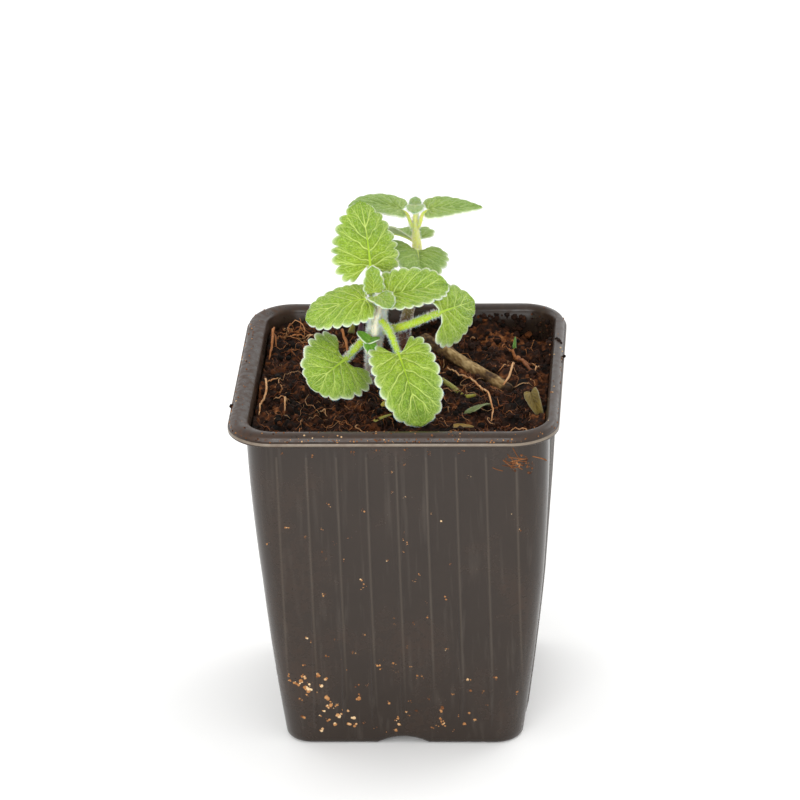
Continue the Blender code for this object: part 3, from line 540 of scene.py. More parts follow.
def bed_mesh():
    """The bed's top as a grid, and its sides and underside down to the pot's floor."""
    n = BED_STEPS
    side = np.linspace(-1, 1, n)
    a, b = np.meshgrid(side, side, indexing="xy")
    x, y = bed_spot(a, b)
    run = np.arange(n - 1)
    edge = np.concatenate([run, (run + 1) * n - 1, n * n - 1 - run, n * (n - 1) - run * n])
    angle = np.arctan2(b.ravel()[edge], a.ravel()[edge])
    rows = [edge]
    points = [columns(x, y, bed_height(x, y)).reshape(-1, 3)]
    faces = [grid_faces(n, n)]
    for z in BED_SIDE_LEVELS:
        reach = square_reach(angle, wall_half(z) - BED_GAP, corner_radius(z) - BED_GAP)
        points.append(columns(reach * np.cos(angle) + wall_shift(z), reach * np.sin(angle), z))
        rows.append(n * n + (len(rows) - 1) * len(edge) + np.arange(len(edge)))
        upper, lower = rows[-2:]
        after_low = np.roll(lower, -1)
        faces += [columns(upper, lower, after_low), columns(upper, after_low, np.roll(upper, -1))]
    faces.append(columns(sum(map(len, points)), after_low, lower))
    points.append([(0.0, 0.0, BED_SIDE_LEVELS[-1])])
    return np.concatenate(points), np.concatenate(faces)


def tinted(name, colours, roughness, distance=0.0, grain=900.0):
    """A rough material whose colour follows the mesh's tone, 0 to 1.

    Its grain, so many waves to a metre, shifts the tone a little and gives it a relief.
    """
    material, tree, shader = new_material(name)
    where = add_node(tree, "TexCoord", out="Object")
    tone = add_node(tree, "Attribute", out="Fac", attribute_name="tone")
    grains = add_node(tree, "TexNoise", {0: where, "Scale": grain, "Detail": 4.0,
                                         "Roughness": 0.65})
    jitter = add_node(tree, "Math", (grains, 0.5, -0.25), operation="MULTIPLY_ADD")
    mixed = add_node(tree, "Math", (tone, jitter), operation="ADD", use_clamp=True)
    colour = add_node(tree, "ValToRGB", (mixed,))
    stops = colour.node.color_ramp.elements
    for _ in colours[2:]:
        stops.new(0.5)
    for stop, (at, tint) in zip(stops, colours):
        stop.position = at
        stop.color = linear(tint)
    set_inputs(shader, {"Base Color": colour, "Roughness": roughness, "IOR": 1.45,
                        "Specular IOR Level": 0.25})
    if distance:
        relief = add_node(tree, "Bump", {"Height": grains, "Strength": 0.6, "Distance": distance})
        set_inputs(shader, {"Normal": relief})
    return material


bed_points, bed_faces = bed_mesh()
coir = tinted("moist_coir", ((0.0, "#0c0603"), (0.42, "#2f180b"), (0.72, "#6a3c1d"),
                             (1.0, "#a86f40")), 0.9, 0.0004)
bed_tone = (0.3 + 0.45 * smooth_noise(bed_points / 5.5, 11)
            + 0.4 * smooth_noise(bed_points / 1.1, 12))
place(make_mesh("compost_bed", bed_points, bed_faces, coir, tone=np.clip(bed_tone, 0, 1)),
      "compost_coir", "compost")


def scatter(count, reach=0.965):
    """Random spots on the bed, clear of the mid front leaf's tip and of the twig."""
    a, b = chance.uniform(-reach, reach, (2, count))
    x, y = bed_spot(a, b)
    clear = ((np.hypot(x - DIMPLE[0], y - DIMPLE[1]) > DIMPLE_CLEAR)
             & (from_twig(x, y) > TWIG_CLEAR))
    return x[clear], y[clear]


def place_tubes(name, slot, material, paths, radii, sides, tone, *nodes,
                reference=(0.0, 0.0, 1.0), onto=None, smooth=True):
    """A piece made of tubes, in its place. Its tone is one number, or one a tube or a point.

    onto moves the points onto a surface.
    """
    points, faces = sweep(paths, radii, sides, reference)
    if onto:
        points = onto(points)
    tone = np.repeat(tone, len(points) // np.size(tone))
    place(make_mesh(name, points, faces, material, smooth, tone=tone), slot, *nodes)


def crumb_piece(name, x, y, z, size, tone, material, onto=None):
    """Angular crumbs of one tone each: tubes of three rings of five points, each point's radius
    drawn at random.
    """
    axis = unit(chance.normal(size=(len(x), 3)))
    offsets = np.array([-0.75, 0.05, 0.75])[:, None] * size[:, None, None]
    shape = np.array([0.62, 1.0, 0.55])[:, None]
    radii = size[:, None, None] * shape * chance.uniform(0.7, 1.25, (len(x), 3, 5))
    place_tubes(name, "compost_coir", material, columns(x, y, z)[:, None] + axis[:, None] * offsets,
                radii, 5, np.clip(tone, 0, 1), reference=(0.31, 0.17, 0.93), onto=onto,
                smooth=False)


x, y = scatter(CRUMB_COUNT)
size = CRUMB_SIZES[0] + np.ptp(CRUMB_SIZES) * chance.random(len(x)) ** 4
crumb_piece("compost_crumbs", x, y, bed_height(x, y) + 0.2 * size, size,
            np.minimum(chance.normal(0.27, 0.2, len(x)), 0.7), coir)

# Compost that clings
# Wet compost was spilt when the pot was filled: clods stick to the inner wall at the back, and
# flakes and dust have dried on the outer wall and the rim.
WALL_CLODS = 420
CLOD_LEVELS = (90.0, 98.0)
CLOD_SIZES = (0.25, 1.2)
WALL_SHREDS = 14
SHRED_RADIUS = 0.16
RIM_DIRT = 380
# Each heap's middle, across and up, its spread both ways, its count, its least and largest size
# and its tone.
WALL_DIRT = (
    (-26, 18, 3.2, 2.8, 76, 0.2, 1.2, 0.7),
    (-19, 10, 5.0, 3.0, 64, 0.15, 1.2, 0.75),
    (-29, 20, 2.0, 2.0, 14, 0.15, 0.9, 0.65),
    (-2, 9, 10.0, 4.0, 110, 0.12, 0.9, 0.6),
    (10.5, 6.5, 0.7, 0.5, 9, 0.4, 0.9, 0.65),
    (-9.1, 52, 0.7, 1.8, 11, 0.2, 0.6, 0.75),
    (-21.5, 63, 5.0, 3.0, 26, 0.12, 0.32, 0.45),
    (-23, 35, 0.8, 1.6, 7, 0.2, 0.55, 0.7),
    (6.3, 54, 1.4, 0.8, 8, 0.15, 0.4, 0.6),
    (1, 77, 3.0, 9.0, 30, 0.1, 0.32, 0.7),
    (34, 71, 1.0, 1.5, 5, 0.15, 0.45, 0.65),
    (-8, 48, 17.0, 28.0, 170, 0.08, 0.6, 0.6),
    (-5, 22, 17.0, 10.0, 110, 0.08, 0.7, 0.55),
    (0, 93.6, 20.0, 0.6, 60, 0.1, 0.5, 0.35),
    (34.5, 90.2, 1.6, 1.4, 60, 0.2, 0.8, 0.15),
    (37.0, 87.6, 1.0, 0.8, 22, 0.15, 0.7, 0.3),
)
# Each nub's place and size.
RIM_NUBS = ((-44.7, -22.1, 98.4, 0.8), (-44.4, -21.2, 98.0, 0.5), (43.3, 17.6, 99.6, 0.9),
            (42.6, 18.6, 99.7, 0.7), (43.9, 16.8, 99.4, 0.5), (45.0, 10.2, 98.4, 0.55))


def on_front_wall(points):
    """Flattens points that were made round the plane y = 0 onto the pot's front wall.

    Past the wall's flat run the surface goes back round the corner's circle.
    """
    x, depth, z = points.T
    radius = corner_radius(z)
    flat = wall_half(z) - radius
    past = np.clip(np.abs(x - wall_shift(z)) - flat, 0, 0.9 * radius)
    return columns(x, 0.35 * depth - flat - np.sqrt(radius ** 2 - past ** 2), z)


def in_flakes(middle, spread, count):
    """Normal random places in runs of four that lie about 0.3 mm apart, for crumbs that touch."""
    return (middle + spread * np.repeat(chance.normal(size=count), 4)[:count]
            + chance.normal(0, 0.3, count))


angle = np.radians(np.where(chance.random(WALL_CLODS) < 0.6, chance.normal(62, 9, WALL_CLODS),
                            chance.uniform(12, 100, WALL_CLODS)))
z = CLOD_LEVELS[0] + np.ptp(CLOD_LEVELS) * chance.random(WALL_CLODS) ** 1.3
size = CLOD_SIZES[0] + np.ptp(CLOD_SIZES) * chance.random(WALL_CLODS) ** 2.6
reach = square_reach(angle, wall_half(z) - WALL, corner_radius(z) - WALL) - 0.55 * size
crumb_piece("wall_clods", reach * np.cos(angle) + WALL_SHIFT, reach * np.sin(angle), z, size,
            np.minimum(chance.normal(0.27, 0.16, WALL_CLODS), 0.7), coir)
dried = tinted("dried_compost", ((0.0, "#3a2012"), (0.4, "#7a4c2a"), (0.75, "#ad7c4e"),
                                 (1.0, "#d2b68e")), 0.9, grain=500.0)
x, z, size, tone = (np.concatenate(part) for part in zip(*(
    (in_flakes(x, wide, count), in_flakes(z, high, count),
     least + (most - least) * chance.random(count) ** 2.2, chance.normal(tone, 0.2, count))
    for x, z, wide, high, count, least, most, tone in WALL_DIRT)))
kept = (np.abs(x - WALL_SHIFT) < wall_half(z) - 0.4 * corner_radius(z)) & (z > 3.5) & (z < 95)
crumb_piece("wall_dirt", x[kept], 0 * x[kept], z[kept], 0.6 * size[kept], tone[kept], dried,
            on_front_wall)
x, z = chance.normal(33.5, 2.0, (WALL_SHREDS, 1)), chance.normal(90.6, 1.3, (WALL_SHREDS, 1))
slant = chance.uniform(-1.1, 0.3, (WALL_SHREDS, 1))
half = chance.uniform(0.7, 2.4, (WALL_SHREDS, 1))
t = np.linspace(-1, 1, 8)
bow = chance.uniform(-0.14, 0.14, (WALL_SHREDS, 1)) * half * (1 - t ** 2)
shred_paths = columns(x + half * t * np.cos(slant) - bow * np.sin(slant), 0.0,
                      z + half * t * np.sin(slant) + bow * np.cos(slant))
place_tubes("wall_shreds", "compost_coir", dried, shred_paths, np.full(bow.shape, SHRED_RADIUS), 5,
            chance.uniform(0.1, 0.5, WALL_SHREDS), reference=(0, 1, 0), onto=on_front_wall)
turn = np.where(chance.random(RIM_DIRT) < 0.5, chance.uniform(0.0, 0.35, RIM_DIRT),
                chance.uniform(0.3, 2.6, RIM_DIRT))
inset, rise = rim_roll(turn)
side = chance.choice((-90, 180, 0, 90), RIM_DIRT, p=(0.5, 0.28, 0.14, 0.08))
angle = np.radians(side + chance.uniform(-45, 45, RIM_DIRT))
reach = square_reach(angle, RIM_HALF - inset, RIM_CORNER - inset)
crumb_piece("rim_dirt", reach * np.cos(angle), reach * np.sin(angle), UNDER_RIM + rise,
            chance.uniform(0.06, 0.3, RIM_DIRT), chance.normal(0.4, 0.25, RIM_DIRT), dried)
x, y, z, size = np.array(RIM_NUBS).T
crumb_piece("rim_nubs", x, y, z, size, np.full(len(x), 0.12), coir)

# Coir fibres
# Coconut fibres, rust to straw coloured and 0.1 to 0.3 mm thick, curl over the compost. A few
# stand up against the wall.
FIBRE_COUNT = 1180
FIBRE_RINGS = 10
WAD_COUNT = 60
BED_FLAT = 31.0
BED_CORNER = 7.6
FIBRE_LIFT = 0.15


def curls(x, y, length, thickness, rise, heading, curl):
    """Paths and radii of fibres on the bed: their heading turns steadily and sways, and they arch.

    With n steps, step k goes on by length / n at the heading h + curl k / n + a sine. The height
    is the bed's, plus rise times a sine arch or, for every third, a rising tail. Fibres that
    would leave the bed are left out. Returns also which ones are kept.
    """
    count = len(x)
    t = np.linspace(0, 1, FIBRE_RINGS)
    sway = chance.uniform(0.2, 0.9, (count, 1)) * np.sin(
        2 * math.pi * (t * chance.uniform(0.8, 2.0, (count, 1)) + chance.random((count, 1))))
    turn = heading[:, None] + curl[:, None] * t + sway
    step = (length / (FIBRE_RINGS - 1))[:, None]
    px = x[:, None] + np.cumsum(np.cos(turn) * step, axis=1)
    py = y[:, None] + np.cumsum(np.sin(turn) * step, axis=1)
    past_x = np.maximum(np.abs(px - WALL_SHIFT) - BED_FLAT, 0)
    past_y = np.maximum(np.abs(py) - BED_FLAT, 0)
    inside = (np.hypot(past_x, past_y) < BED_CORNER).all(axis=1)
    tail = (np.arange(count) % 3 == 0)[:, None]
    arch = np.where(tail, t ** 2, np.sin(math.pi * t))
    pz = bed_height(px, py) + FIBRE_LIFT + rise[:, None] * arch
    taper = 1 - 0.6 * np.abs(2 * t - 1) ** 3
    return columns(px, py, pz)[inside], (thickness[:, None] * taper)[inside], inside


def smooth_path(points, steps, curved_ends=False):
    """A smooth curve through the points, steps to each span, by cubic Hermite pieces.

    It leaves each end straight towards the next point, or with curved_ends on a parabola.
    """
    pts = np.array(points, float)
    spans = np.linalg.norm(np.diff(pts, axis=0), axis=1)
    slopes = np.empty_like(pts)
    slopes[0] = (pts[1] - pts[0]) / spans[0]
    slopes[-1] = (pts[-1] - pts[-2]) / spans[-1]
    if len(pts) > 2:
        slopes[1:-1] = (pts[2:] - pts[:-2]) / (spans[1:] + spans[:-1])[:, None]
    if curved_ends:
        slopes[0] = 2 * slopes[0] - slopes[1]
        slopes[-1] = 2 * slopes[-1] - slopes[-2]
    t = np.linspace(0, 1, steps, endpoint=False)[:, None]
    curve = [(2 * t**3 - 3 * t**2 + 1) * pts[k] + (t**3 - 2 * t**2 + t) * span * slopes[k]
             + (3 * t**2 - 2 * t**3) * pts[k + 1] + (t**3 - t**2) * span * slopes[k + 1]
             for k, span in enumerate(spans)]
    return np.concatenate(curve + [pts[-1:]])


coir_fibre = tinted("coir_fibre", ((0.0, "#1e0e06"), (0.35, "#5e2f14"), (0.7, "#ad7040"),
                                   (1.0, "#e2c193")), 0.6, grain=400.0)
x, y = scatter(FIBRE_COUNT, 0.95)
count = len(x)
tone = 0.1 + 0.75 * chance.random(count) ** 2.3
fibre_paths, radii, kept = curls(
    x, y, 2.0 + 10 * chance.random(count) ** 1.6, 0.06 + 0.16 * chance.random(count) ** 3,
    chance.uniform(0, 1.4, count), chance.uniform(0, 2 * math.pi, count),
    chance.normal(0, 1.5, count))
place_tubes("coir_fibres", "compost_coir", coir_fibre, fibre_paths, radii, 3, tone[kept])
x, y = chance.normal(-34.5, 3.6, WAD_COUNT), chance.normal(34.5, 2.2, WAD_COUNT)
wad_paths, radii, kept = curls(
    x, y, chance.uniform(5, 12, WAD_COUNT), chance.uniform(0.09, 0.22, WAD_COUNT),
    chance.uniform(0.5, 3.2, WAD_COUNT), chance.uniform(0, 2 * math.pi, WAD_COUNT),
    chance.normal(0, 4.0, WAD_COUNT))
place_tubes("coir_wad", "compost_coir", coir_fibre, wad_paths, radii, 3,
            chance.uniform(0.45, 0.85, kept.sum()))
# Each straw's points, whose height is above the compost, its radius and its tone.
STRAWS = (
    (((-37.4, 33.0, 1.8), (-37.2, 26.0, 3.4), (-37.0, 20.0, 2.4), (-37.5, 14.6, 0.3)), 0.36, 0.6),
    (((-37.6, 30.9, 1.0), (-36.6, 26.5, 1.8), (-36.2, 22.7, 0.4)), 0.28, 0.55),
    (((-37.5, -0.7, 1.2), (-36.6, -5.9, 1.8), (-36.2, -10.5, 1.6), (-37.2, -16.0, 1.2),
      (-37.4, -21.5, 0.3)), 0.3, 0.82),
    (((-36.7, -4.9, 1.6), (-35.2, -2.4, 1.5), (-33.6, -0.7, 0.6)), 0.2, 0.75),
    (((-30.5, -11.2, 0.3), (-30.7, -14.5, 1.0), (-30.6, -17.7, 0.3)), 0.26, 0.85),
    (((-16.5, -30.6, 0.3), (-12.0, -32.5, 1.3), (-8.9, -30.0, 0.4)), 0.24, 0.8),
    (((-18.6, 32.1, 0.8), (-17.2, 26.5, 2.2), (-15.9, 21.2, 0.4)), 0.36, 0.66),
    (((12.6, 9.5, 2.2), (15.1, 6.9, 2.6), (21.7, -4.3, 3.4), (23.6, -8.0, 3.2), (26.3, -16.7, 1.8),
      (26.0, -22.5, 0.2)), 0.27, 0.8),
    (((28.5, -1.7, 2.4), (30.2, 2.2, 3.6), (31.2, 7.5, 3.0)), 0.32, 0.82),
    (((36.0, 5.5, 0.5), (37.4, 8.4, 1.8), (38.2, 11.4, 1.0)), 0.2, 0.85),
    (((30.3, 22.2, 0.8), (33.0, 16.8, 1.6), (36.3, 9.5, 0.6)), 0.55, 0.45),
    (((29.0, 23.6, 1.0), (32.0, 20.0, 1.7), (35.6, 16.2, 0.7)), 0.5, 0.52),
)
straw_parts = []
for places, radius, tone in STRAWS:
    path = smooth_path(places, 8)
    path[:, 2] += bed_height(path[:, 0], path[:, 1])
    taper = 1 - 0.5 * np.abs(np.linspace(-1, 1, len(path))) ** 3
    points, faces = sweep([path], [radius * taper], 6)
    earlier = sum(len(part[0]) for part in straw_parts)
    straw_parts.append((points, faces + earlier, np.full(len(points), tone)))
points, faces, tone = (np.concatenate(part) for part in zip(*straw_parts))
place(make_mesh("dry_straws", points, faces, coir_fibre, tone=tone), "compost_coir")

# Old twig
# A dead stick 4 mm thick and still in its bark, half sunk in the compost, with two old knots, a
# pale upper side and a dark broken end at the front.
TWIG_PATH = ((4.8, 31.2, 94.1), (12.6, 21.3, 93.9), (21.5, 10.0, 93.6), (30.6, -1.4, 93.2))
TWIG_RADIUS = 1.95
TWIG_SIDES = 28

twig_path = smooth_path(TWIG_PATH, 32)
share = np.linspace(0, 1, len(twig_path))[:, None]
knots = 0.3 * np.exp(-((share - 0.3) / 0.05) ** 2) + 0.18 * np.exp(-((share - 0.85) / 0.05) ** 2)
girth = TWIG_RADIUS * (1 - 0.15 * share) * (1 + knots)
angle = 2 * math.pi * np.arange(TWIG_SIDES) / TWIG_SIDES
around = columns(share * 9, 2.2 * np.cos(angle), 2.2 * np.sin(angle))
bark = 0.05 * smooth_noise(around, 21) + 0.05 * smooth_noise(around * (5, 2.4, 2.4), 22)
broken = 1 - 0.35 * ease((share - 0.965) / 0.035) * (0.6 + smooth_noise(around, 23))
twig_tone = (0.5 + 5.5 * bark - 0.22 * np.sin(angle) - 0.5 * ease((share - 0.93) / 0.05)
             - 0.32 * (1 - ease((share - 0.26) / 0.12))
             - 0.25 * np.exp(-((share - 0.8) / 0.07) ** 2))
twig_bark = tinted("weathered_bark", ((0.0, "#1a0f08"), (0.35, "#4a351f"), (0.65, "#7f643d"),
                                      (1.0, "#bda273")), 0.8, 0.0004, 520.0)
place_tubes("twig_bark", "twig_wood", twig_bark, [twig_path], [girth * (0.97 + bark) * broken],
            TWIG_SIDES, np.clip(np.append(twig_tone, [0.2, 0.1]), 0, 1), "old_twig")

# Stems
# Square-cornered stems under a dense coat of white hairs: the front one whitish, the back one
# yellow-green, and both flushed purple-brown towards the soil.
STEMS = {
    "front": dict(
        axis=((-7.6, 1.5, 82.0), (-7.6, 1.5, 96.0), (-7.0, -3.0, 105.5), (-6.2, -5.4, 112.5),
              (-5.3, -6.0, 117.0), (-4.6, -6.0, 120.5), (-4.6, -6.0, 124.3)),
        radii=(1.8, 1.8, 1.7, 1.9, 1.9, 1.6, 0.9), low="#8a5a4a", high="#faf3d4",
        flush=(98.0, 105.0), hairs=8200, lengths=(0.5, 1.35), slot="stem_skin"),
    "back": dict(
        axis=((-0.6, 29.0, 82.0), (-0.6, 29.0, 96.0), (0.6, 29.0, 103.0), (2.6, 29.0, 112.0),
              (3.8, 29.0, 121.0), (3.6, 28.6, 129.5), (3.9, 28.0, 135.3)),
        radii=(1.6, 1.6, 1.5, 1.4, 1.4, 0.9, 0.6), low="#5f3a2c", high="#e8ec88",
        flush=(99.0, 119.0), hairs=2200, lengths=(0.3, 0.8), slot="back_stem_skin"),
}
STEM_SIDES = 24
SKIN_RADIUS = (1.0, 0.7, 0.25)
HAIR_SUNK = 0.06
STEM_HAIR_RADIUS = 0.064
FRINGE_RADIUS = 0.044
DOWN_RADIUS = 0.022


def plant_skin(name, low, high, glow=0.6, sheen=0.25):
    """Living plant skin, soft and a little see-through: two colours mixed by the mesh's tone,
    with cells of about 0.4 mm in its bump and light that travels 1.2 mm inside it.
    """
    material, tree, shader = new_material(name)
    where = add_node(tree, "TexCoord", out="Object")
    tone = add_node(tree, "Attribute", out="Fac", attribute_name="tone")
    cells = add_node(tree, "TexNoise", {0: where, "Scale": 2600.0, "Detail": 3.0})
    colour = add_node(tree, "Mix", {0: tone, 6: low, 7: high}, 2, data_type="RGBA")
    relief = add_node(tree, "Bump", {"Height": cells, "Strength": 0.25, "Distance": 0.0001})
    set_inputs(shader, {
        "Base Color": colour, "Normal": relief, "Roughness": 0.7, "IOR": 1.42,
        "Specular IOR Level": 0.2, "Subsurface Weight": glow, "Subsurface Scale": 0.0012,
        "Subsurface Radius": SKIN_RADIUS, "Sheen Weight": sheen, "Sheen Roughness": 0.45})
    return material


# Plant hairs have no colour of their own: they look white because they scatter the light.
hair, _, hair_shader = new_material("plant_hair")
set_inputs(hair_shader, {"Base Color": "#faf7e6", "Roughness": 0.45, "IOR": 1.4,
                         "Subsurface Weight": 0.9, "Subsurface Scale": 0.0015})


def hair_coat(name, slot, roots, directions, lengths, radius):
    """Hairs as closed three-sided spikes: a small triangle round each root, and a far point."""
    first = unit(np.cross(directions, (0.23, 0.41, 0.88)))[:, None]
    second = np.cross(directions, first[:, 0])[:, None]
    angle = 2 * math.pi * np.arange(3)[:, None] / 3
    base = ((roots - HAIR_SUNK * directions)[:, None]
            + radius * (first * np.cos(angle) + second * np.sin(angle)))
    tips = roots + directions * chance.uniform(*lengths, (len(roots), 1))
    points = np.concatenate([base, tips[:, None]], axis=1).reshape(-1, 3)
    spike = np.array([[0, 2, 1], [0, 1, 3], [1, 2, 3], [2, 0, 3]])
    faces = (spike + 4 * np.arange(len(roots))[:, None, None]).reshape(-1, 3)
    place(make_mesh(name, points, faces, hair), slot)


def stem_hairs(name, slot, path, girth, count, lengths):
    """Hairs spread over a stem or stalk: out from its axis, with some lean along it."""
    at = chance.uniform(0, len(path) - 1.001, count)
    k = at.astype(int)
    part = (at - k)[:, None]
    centre = path[k] * (1 - part) + path[k + 1] * part
    along = unit(path[k + 1] - path[k])
    out = unit(np.cross(along, chance.normal(size=(count, 3))))
    lean = unit(out + along * chance.normal(0.05, 0.25, (count, 1)))
    roots = centre + out * (girth[k] * 0.97)[:, None]
    hair_coat(name, slot, roots, lean, lengths, STEM_HAIR_RADIUS)


# Each stem is a soft square tube: its radius swells by 8 % towards four corners, with faint
# ridges. Its line and radii are kept for the stalks that start on it.
stem_lines = {}
for name, stem in STEMS.items():
    path = smooth_path(stem["axis"], 12)
    level = path[:, 2:]
    girth = np.interp(path[:, 2], [p[2] for p in stem["axis"]], stem["radii"])
    angle = 2 * math.pi * np.arange(STEM_SIDES) / STEM_SIDES
    ridges = 0.02 * smooth_noise(columns(level * 0.8, 3 * np.cos(angle), 3 * np.sin(angle)), 31)
    height = np.append(np.repeat(level, STEM_SIDES), level[[0, -1]])
    tone = ease((height - stem["flush"][0]) / (stem["flush"][1] - stem["flush"][0]))
    place_tubes(name + "_stem_skin", stem["slot"],
                plant_skin(name + "_stem_skin", stem["low"], stem["high"], 0.15, 0.9), [path],
                [girth[:, None] * (1 + 0.08 * np.cos(4 * angle) + ridges)], STEM_SIDES, tone,
                name + "_stem", reference=(1, 0, 0))
    above = path[:, 2] > LEVEL - 1
    stem_hairs(name + "_stem_hairs", stem["slot"], path[above], girth[above], stem["hairs"],
               stem["lengths"])
    stem_lines[name] = path, girth

# Leaves
# Catmint leaves: heart-shaped to oval blades with round teeth, netted veins that lie in furrows,
# pillowed skin between them, and down all over. Each blade's rib runs on into its stalk.
TOOTH_SHAPE = 0.62
QUILT = 0.42
MESH_SLANT = 0.75
MESH_START = 0.36
VEIN_STARTS = (0.0, 0.0, 0.0, 0.07, 0.22, 0.4, 0.58)
VEIN_ENDS = (0.12, 0.27, 0.43, 0.58, 0.71, 0.82, 0.92)
VEIN_FORKS = ((0.3, -0.07), (0.5, -0.045), (0.72, -0.025), (0.42, 0.05), (0.65, 0.03))
LEAF_THICKNESS = 0.42
FRINGE_LENGTHS = (0.12, 0.32)
DOWN_LENGTHS = (0.1, 0.24)
STALK_HAIR_LENGTHS = (0.4, 0.95)
STALK_SUNK = 0.55
PUCKERED = 0.3
UNDER_ROWS = 0.25
NUDGE = 0.05
UPPER_VEIN = 0.07
UNDER_VEIN = 0.12
WANDER = 0.5
WANDER_LENGTH = 2.3
NET_CELL = 2.0
NET_LINE = 0.09
NET_INK = 0.26
KNOB_CELL = 0.85
KNOB_LINE = 0.14
STALK_RINGS = 22
RIB_RINGS = 19
STALK_SIDES = 14
# The joint is where blade and stalk meet. Heading, rise and roll turn the blade, in degrees. The
# lobes reach back from the joint, and sinus, blunt, bend, fold and cup shape the blade. teeth is
# how many there are on a side, and tooth how deep one is. stalk is the stalk's radius, and
# leaves_at and climb are its height on the stem and its slant there.
LEAF_FORM = ("joint", "heading", "rise", "roll", "length", "half_width", "lobes", "sinus", "blunt",
             "bend", "fold", "cup", "teeth", "tooth", "stalk", "leaves_at", "climb")
LEAVES = {
    "front_leaf_low_left": ((-13.8, -13.0, 108.4), 246, 2, -42, 15.8, 10.6, (5.6, 5.2), 1.0, 0.75,
                            0.6, -0.05, 0.05, 10, 1.25, 0.95, 112.0, 0),
    "front_leaf_low_right": ((11.4, -3.0, 117.6), 54, -7, 57, 16.1, 9.6, (4.6, 4.2), 1.0, 0.6,
                             0.1, 0.0, 0.3, 10, 1.1, 1.0, 113.4, 0),
    "front_leaf_mid_front": ((0.8, -14.0, 110.2), 292, -29, 4, 22.4, 9.3, (4.8, 3.8), 0.5, 1.0,
                             0.45, 0.12, 0.0, 11, 1.4, 0.85, 117.2, 0),
    "front_leaf_mid_back": ((-7.3, 1.0, 129.9), 100, 63, 12, 19.0, 9.8, (4.6, 3.2), 0.5, 0.72,
                            0.55, -0.1, 0.3, 11, 1.9, 0.8, 117.2, 0),
    "front_leaf_top_left": ((-8.2, -8.0, 123.9), 195, 0, -18, 17.5, 8.2, (1.8, 1.8), 0.2, 0.9,
                            0.65, 0.05, 0.2, 11, 0.95, 0.75, 121.2, 0),
    "front_leaf_top_right": ((-2.1, -6.0, 124.1), 20, 4, 22, 17.2, 7.8, (1.8, 1.8), 0.2, 0.95,
                             0.1, 0.25, 0.05, 11, 0.95, 0.75, 122.4, 0),
    "back_leaf_top_left": ((0.1, 27.6, 135.2), 179, 21, 4, 15.3, 8.7, (1.2, 1.2), 0.2, 1.0,
                           0.65, 0.1, 0.05, 9, 0.6, 0.45, 129.6, 58),
    "back_leaf_top_right": ((7.3, 27.6, 135.2), 6, 9, 2, 15.2, 7.2, (1.2, 1.2), 0.2, 0.25,
                            0.35, 0.05, 0.0, 9, 0.6, 0.45, 129.6, 58),
    "back_leaf_mid_front": ((4.3, 22.4, 125.2), 279, 3, -14, 16.0, 8.8, (4.6, 4.8), 0.8, 0.6,
                            0.5, 0.25, 0.2, 9, 0.8, 0.7, 121.5, 0),
    "back_leaf_mid_back": ((3.2, 33.1, 123.6), 128, 2, 16, 13.5, 6.6, (1.8, 1.6), 0.5, 0.5,
                           0.4, 0.45, 0.0, 8, 0.8, 0.6, 121.5, 0),
}


def leaf_axes(leaf):
    """Unit vectors along the midrib, to the leaf's left and out of its upper face."""
    heading, rise, roll = (math.radians(leaf[key]) for key in ("heading", "rise", "roll"))
    along = np.array([math.cos(rise) * math.cos(heading), math.cos(rise) * math.sin(heading),
                      math.sin(rise)])
    level = unit(np.cross((0.0, 0.0, 1.0), along))
    upper = np.cross(along, level)
    left = math.cos(roll) * level + math.sin(roll) * upper
    return along, left, math.cos(roll) * upper - math.sin(roll) * level


def blade_point(leaf, x, y, lift=0.0):
    """A point of the blade's middle layer from its place on the flat leaf.

    The cross-section is a fold and a parabola, and the whole is rolled onto an arc along the
    midrib: bend is the angle in radians that the tip turns down by.
    """
    z = leaf["fold"] * np.abs(y) - leaf["cup"] * y * y / leaf["half_width"] + lift
    curl = leaf["bend"] / leaf["length"]
    if abs(curl) > 1e-6:
        x, z = (np.sin(curl * x) * (1 / curl + z),
                (np.cos(curl * x) - 1) / curl + np.cos(curl * x) * z)
    along, left, upper = leaf_axes(leaf)
    return (np.array(leaf["joint"]) + x[..., None] * along + y[..., None] * left
            + z[..., None] * upper)


def half_outline(leaf, lobe):
    """Edge of half a blade, from the junction round its basal lobe to the tip.

    A smooth curve through eight points: it swings back by the lobe, is widest near a fifth of
    the length, and closes on the tip, the more roundly the blunter.
    """
    length, w, sinus, blunt = (leaf[key] for key in ("length", "half_width", "sinus", "blunt"))
    corners = [(0, 0), (-0.45 * lobe * (1 - 0.9 * sinus), (0.14 + 0.13 * sinus) * w),
               (-lobe, (0.46 + 0.18 * sinus) * w), (-0.5 * lobe, (0.84 + 0.08 * sinus) * w),
               (0.22 * length, w), (0.56 * length, (0.66 + 0.28 * blunt) * w),
               (0.86 * length, (0.22 + 0.46 * blunt) * w), (length, 0)]
    return smooth_path([(x, y, 0) for x, y in corners], 40, curved_ends=True)[:, :2]


def cell_walls(x, y, cell, seed):
    """How far a place lies from the nearest wall of a net, 0 on the wall and about 0.5 inside.

    The net's cells grow round jittered lattice points: it is the distance to the second nearest
    point less that to the nearest.
    """
    places = np.stack([x, y], axis=-1) / cell
    base = np.floor(places).astype(np.int64)
    gaps = []
    for step in itertools.product((-1, 0, 1), repeat=2):
        near = base + np.array(step)
        jitter = np.stack([cell_numbers(near, seed), cell_numbers(near, seed + 1)], axis=-1)
        gaps.append(np.linalg.norm(places - near - 0.1 - 0.8 * jitter, axis=-1))
    gaps = np.sort(np.stack(gaps), axis=0)
    return gaps[1] - gaps[0]


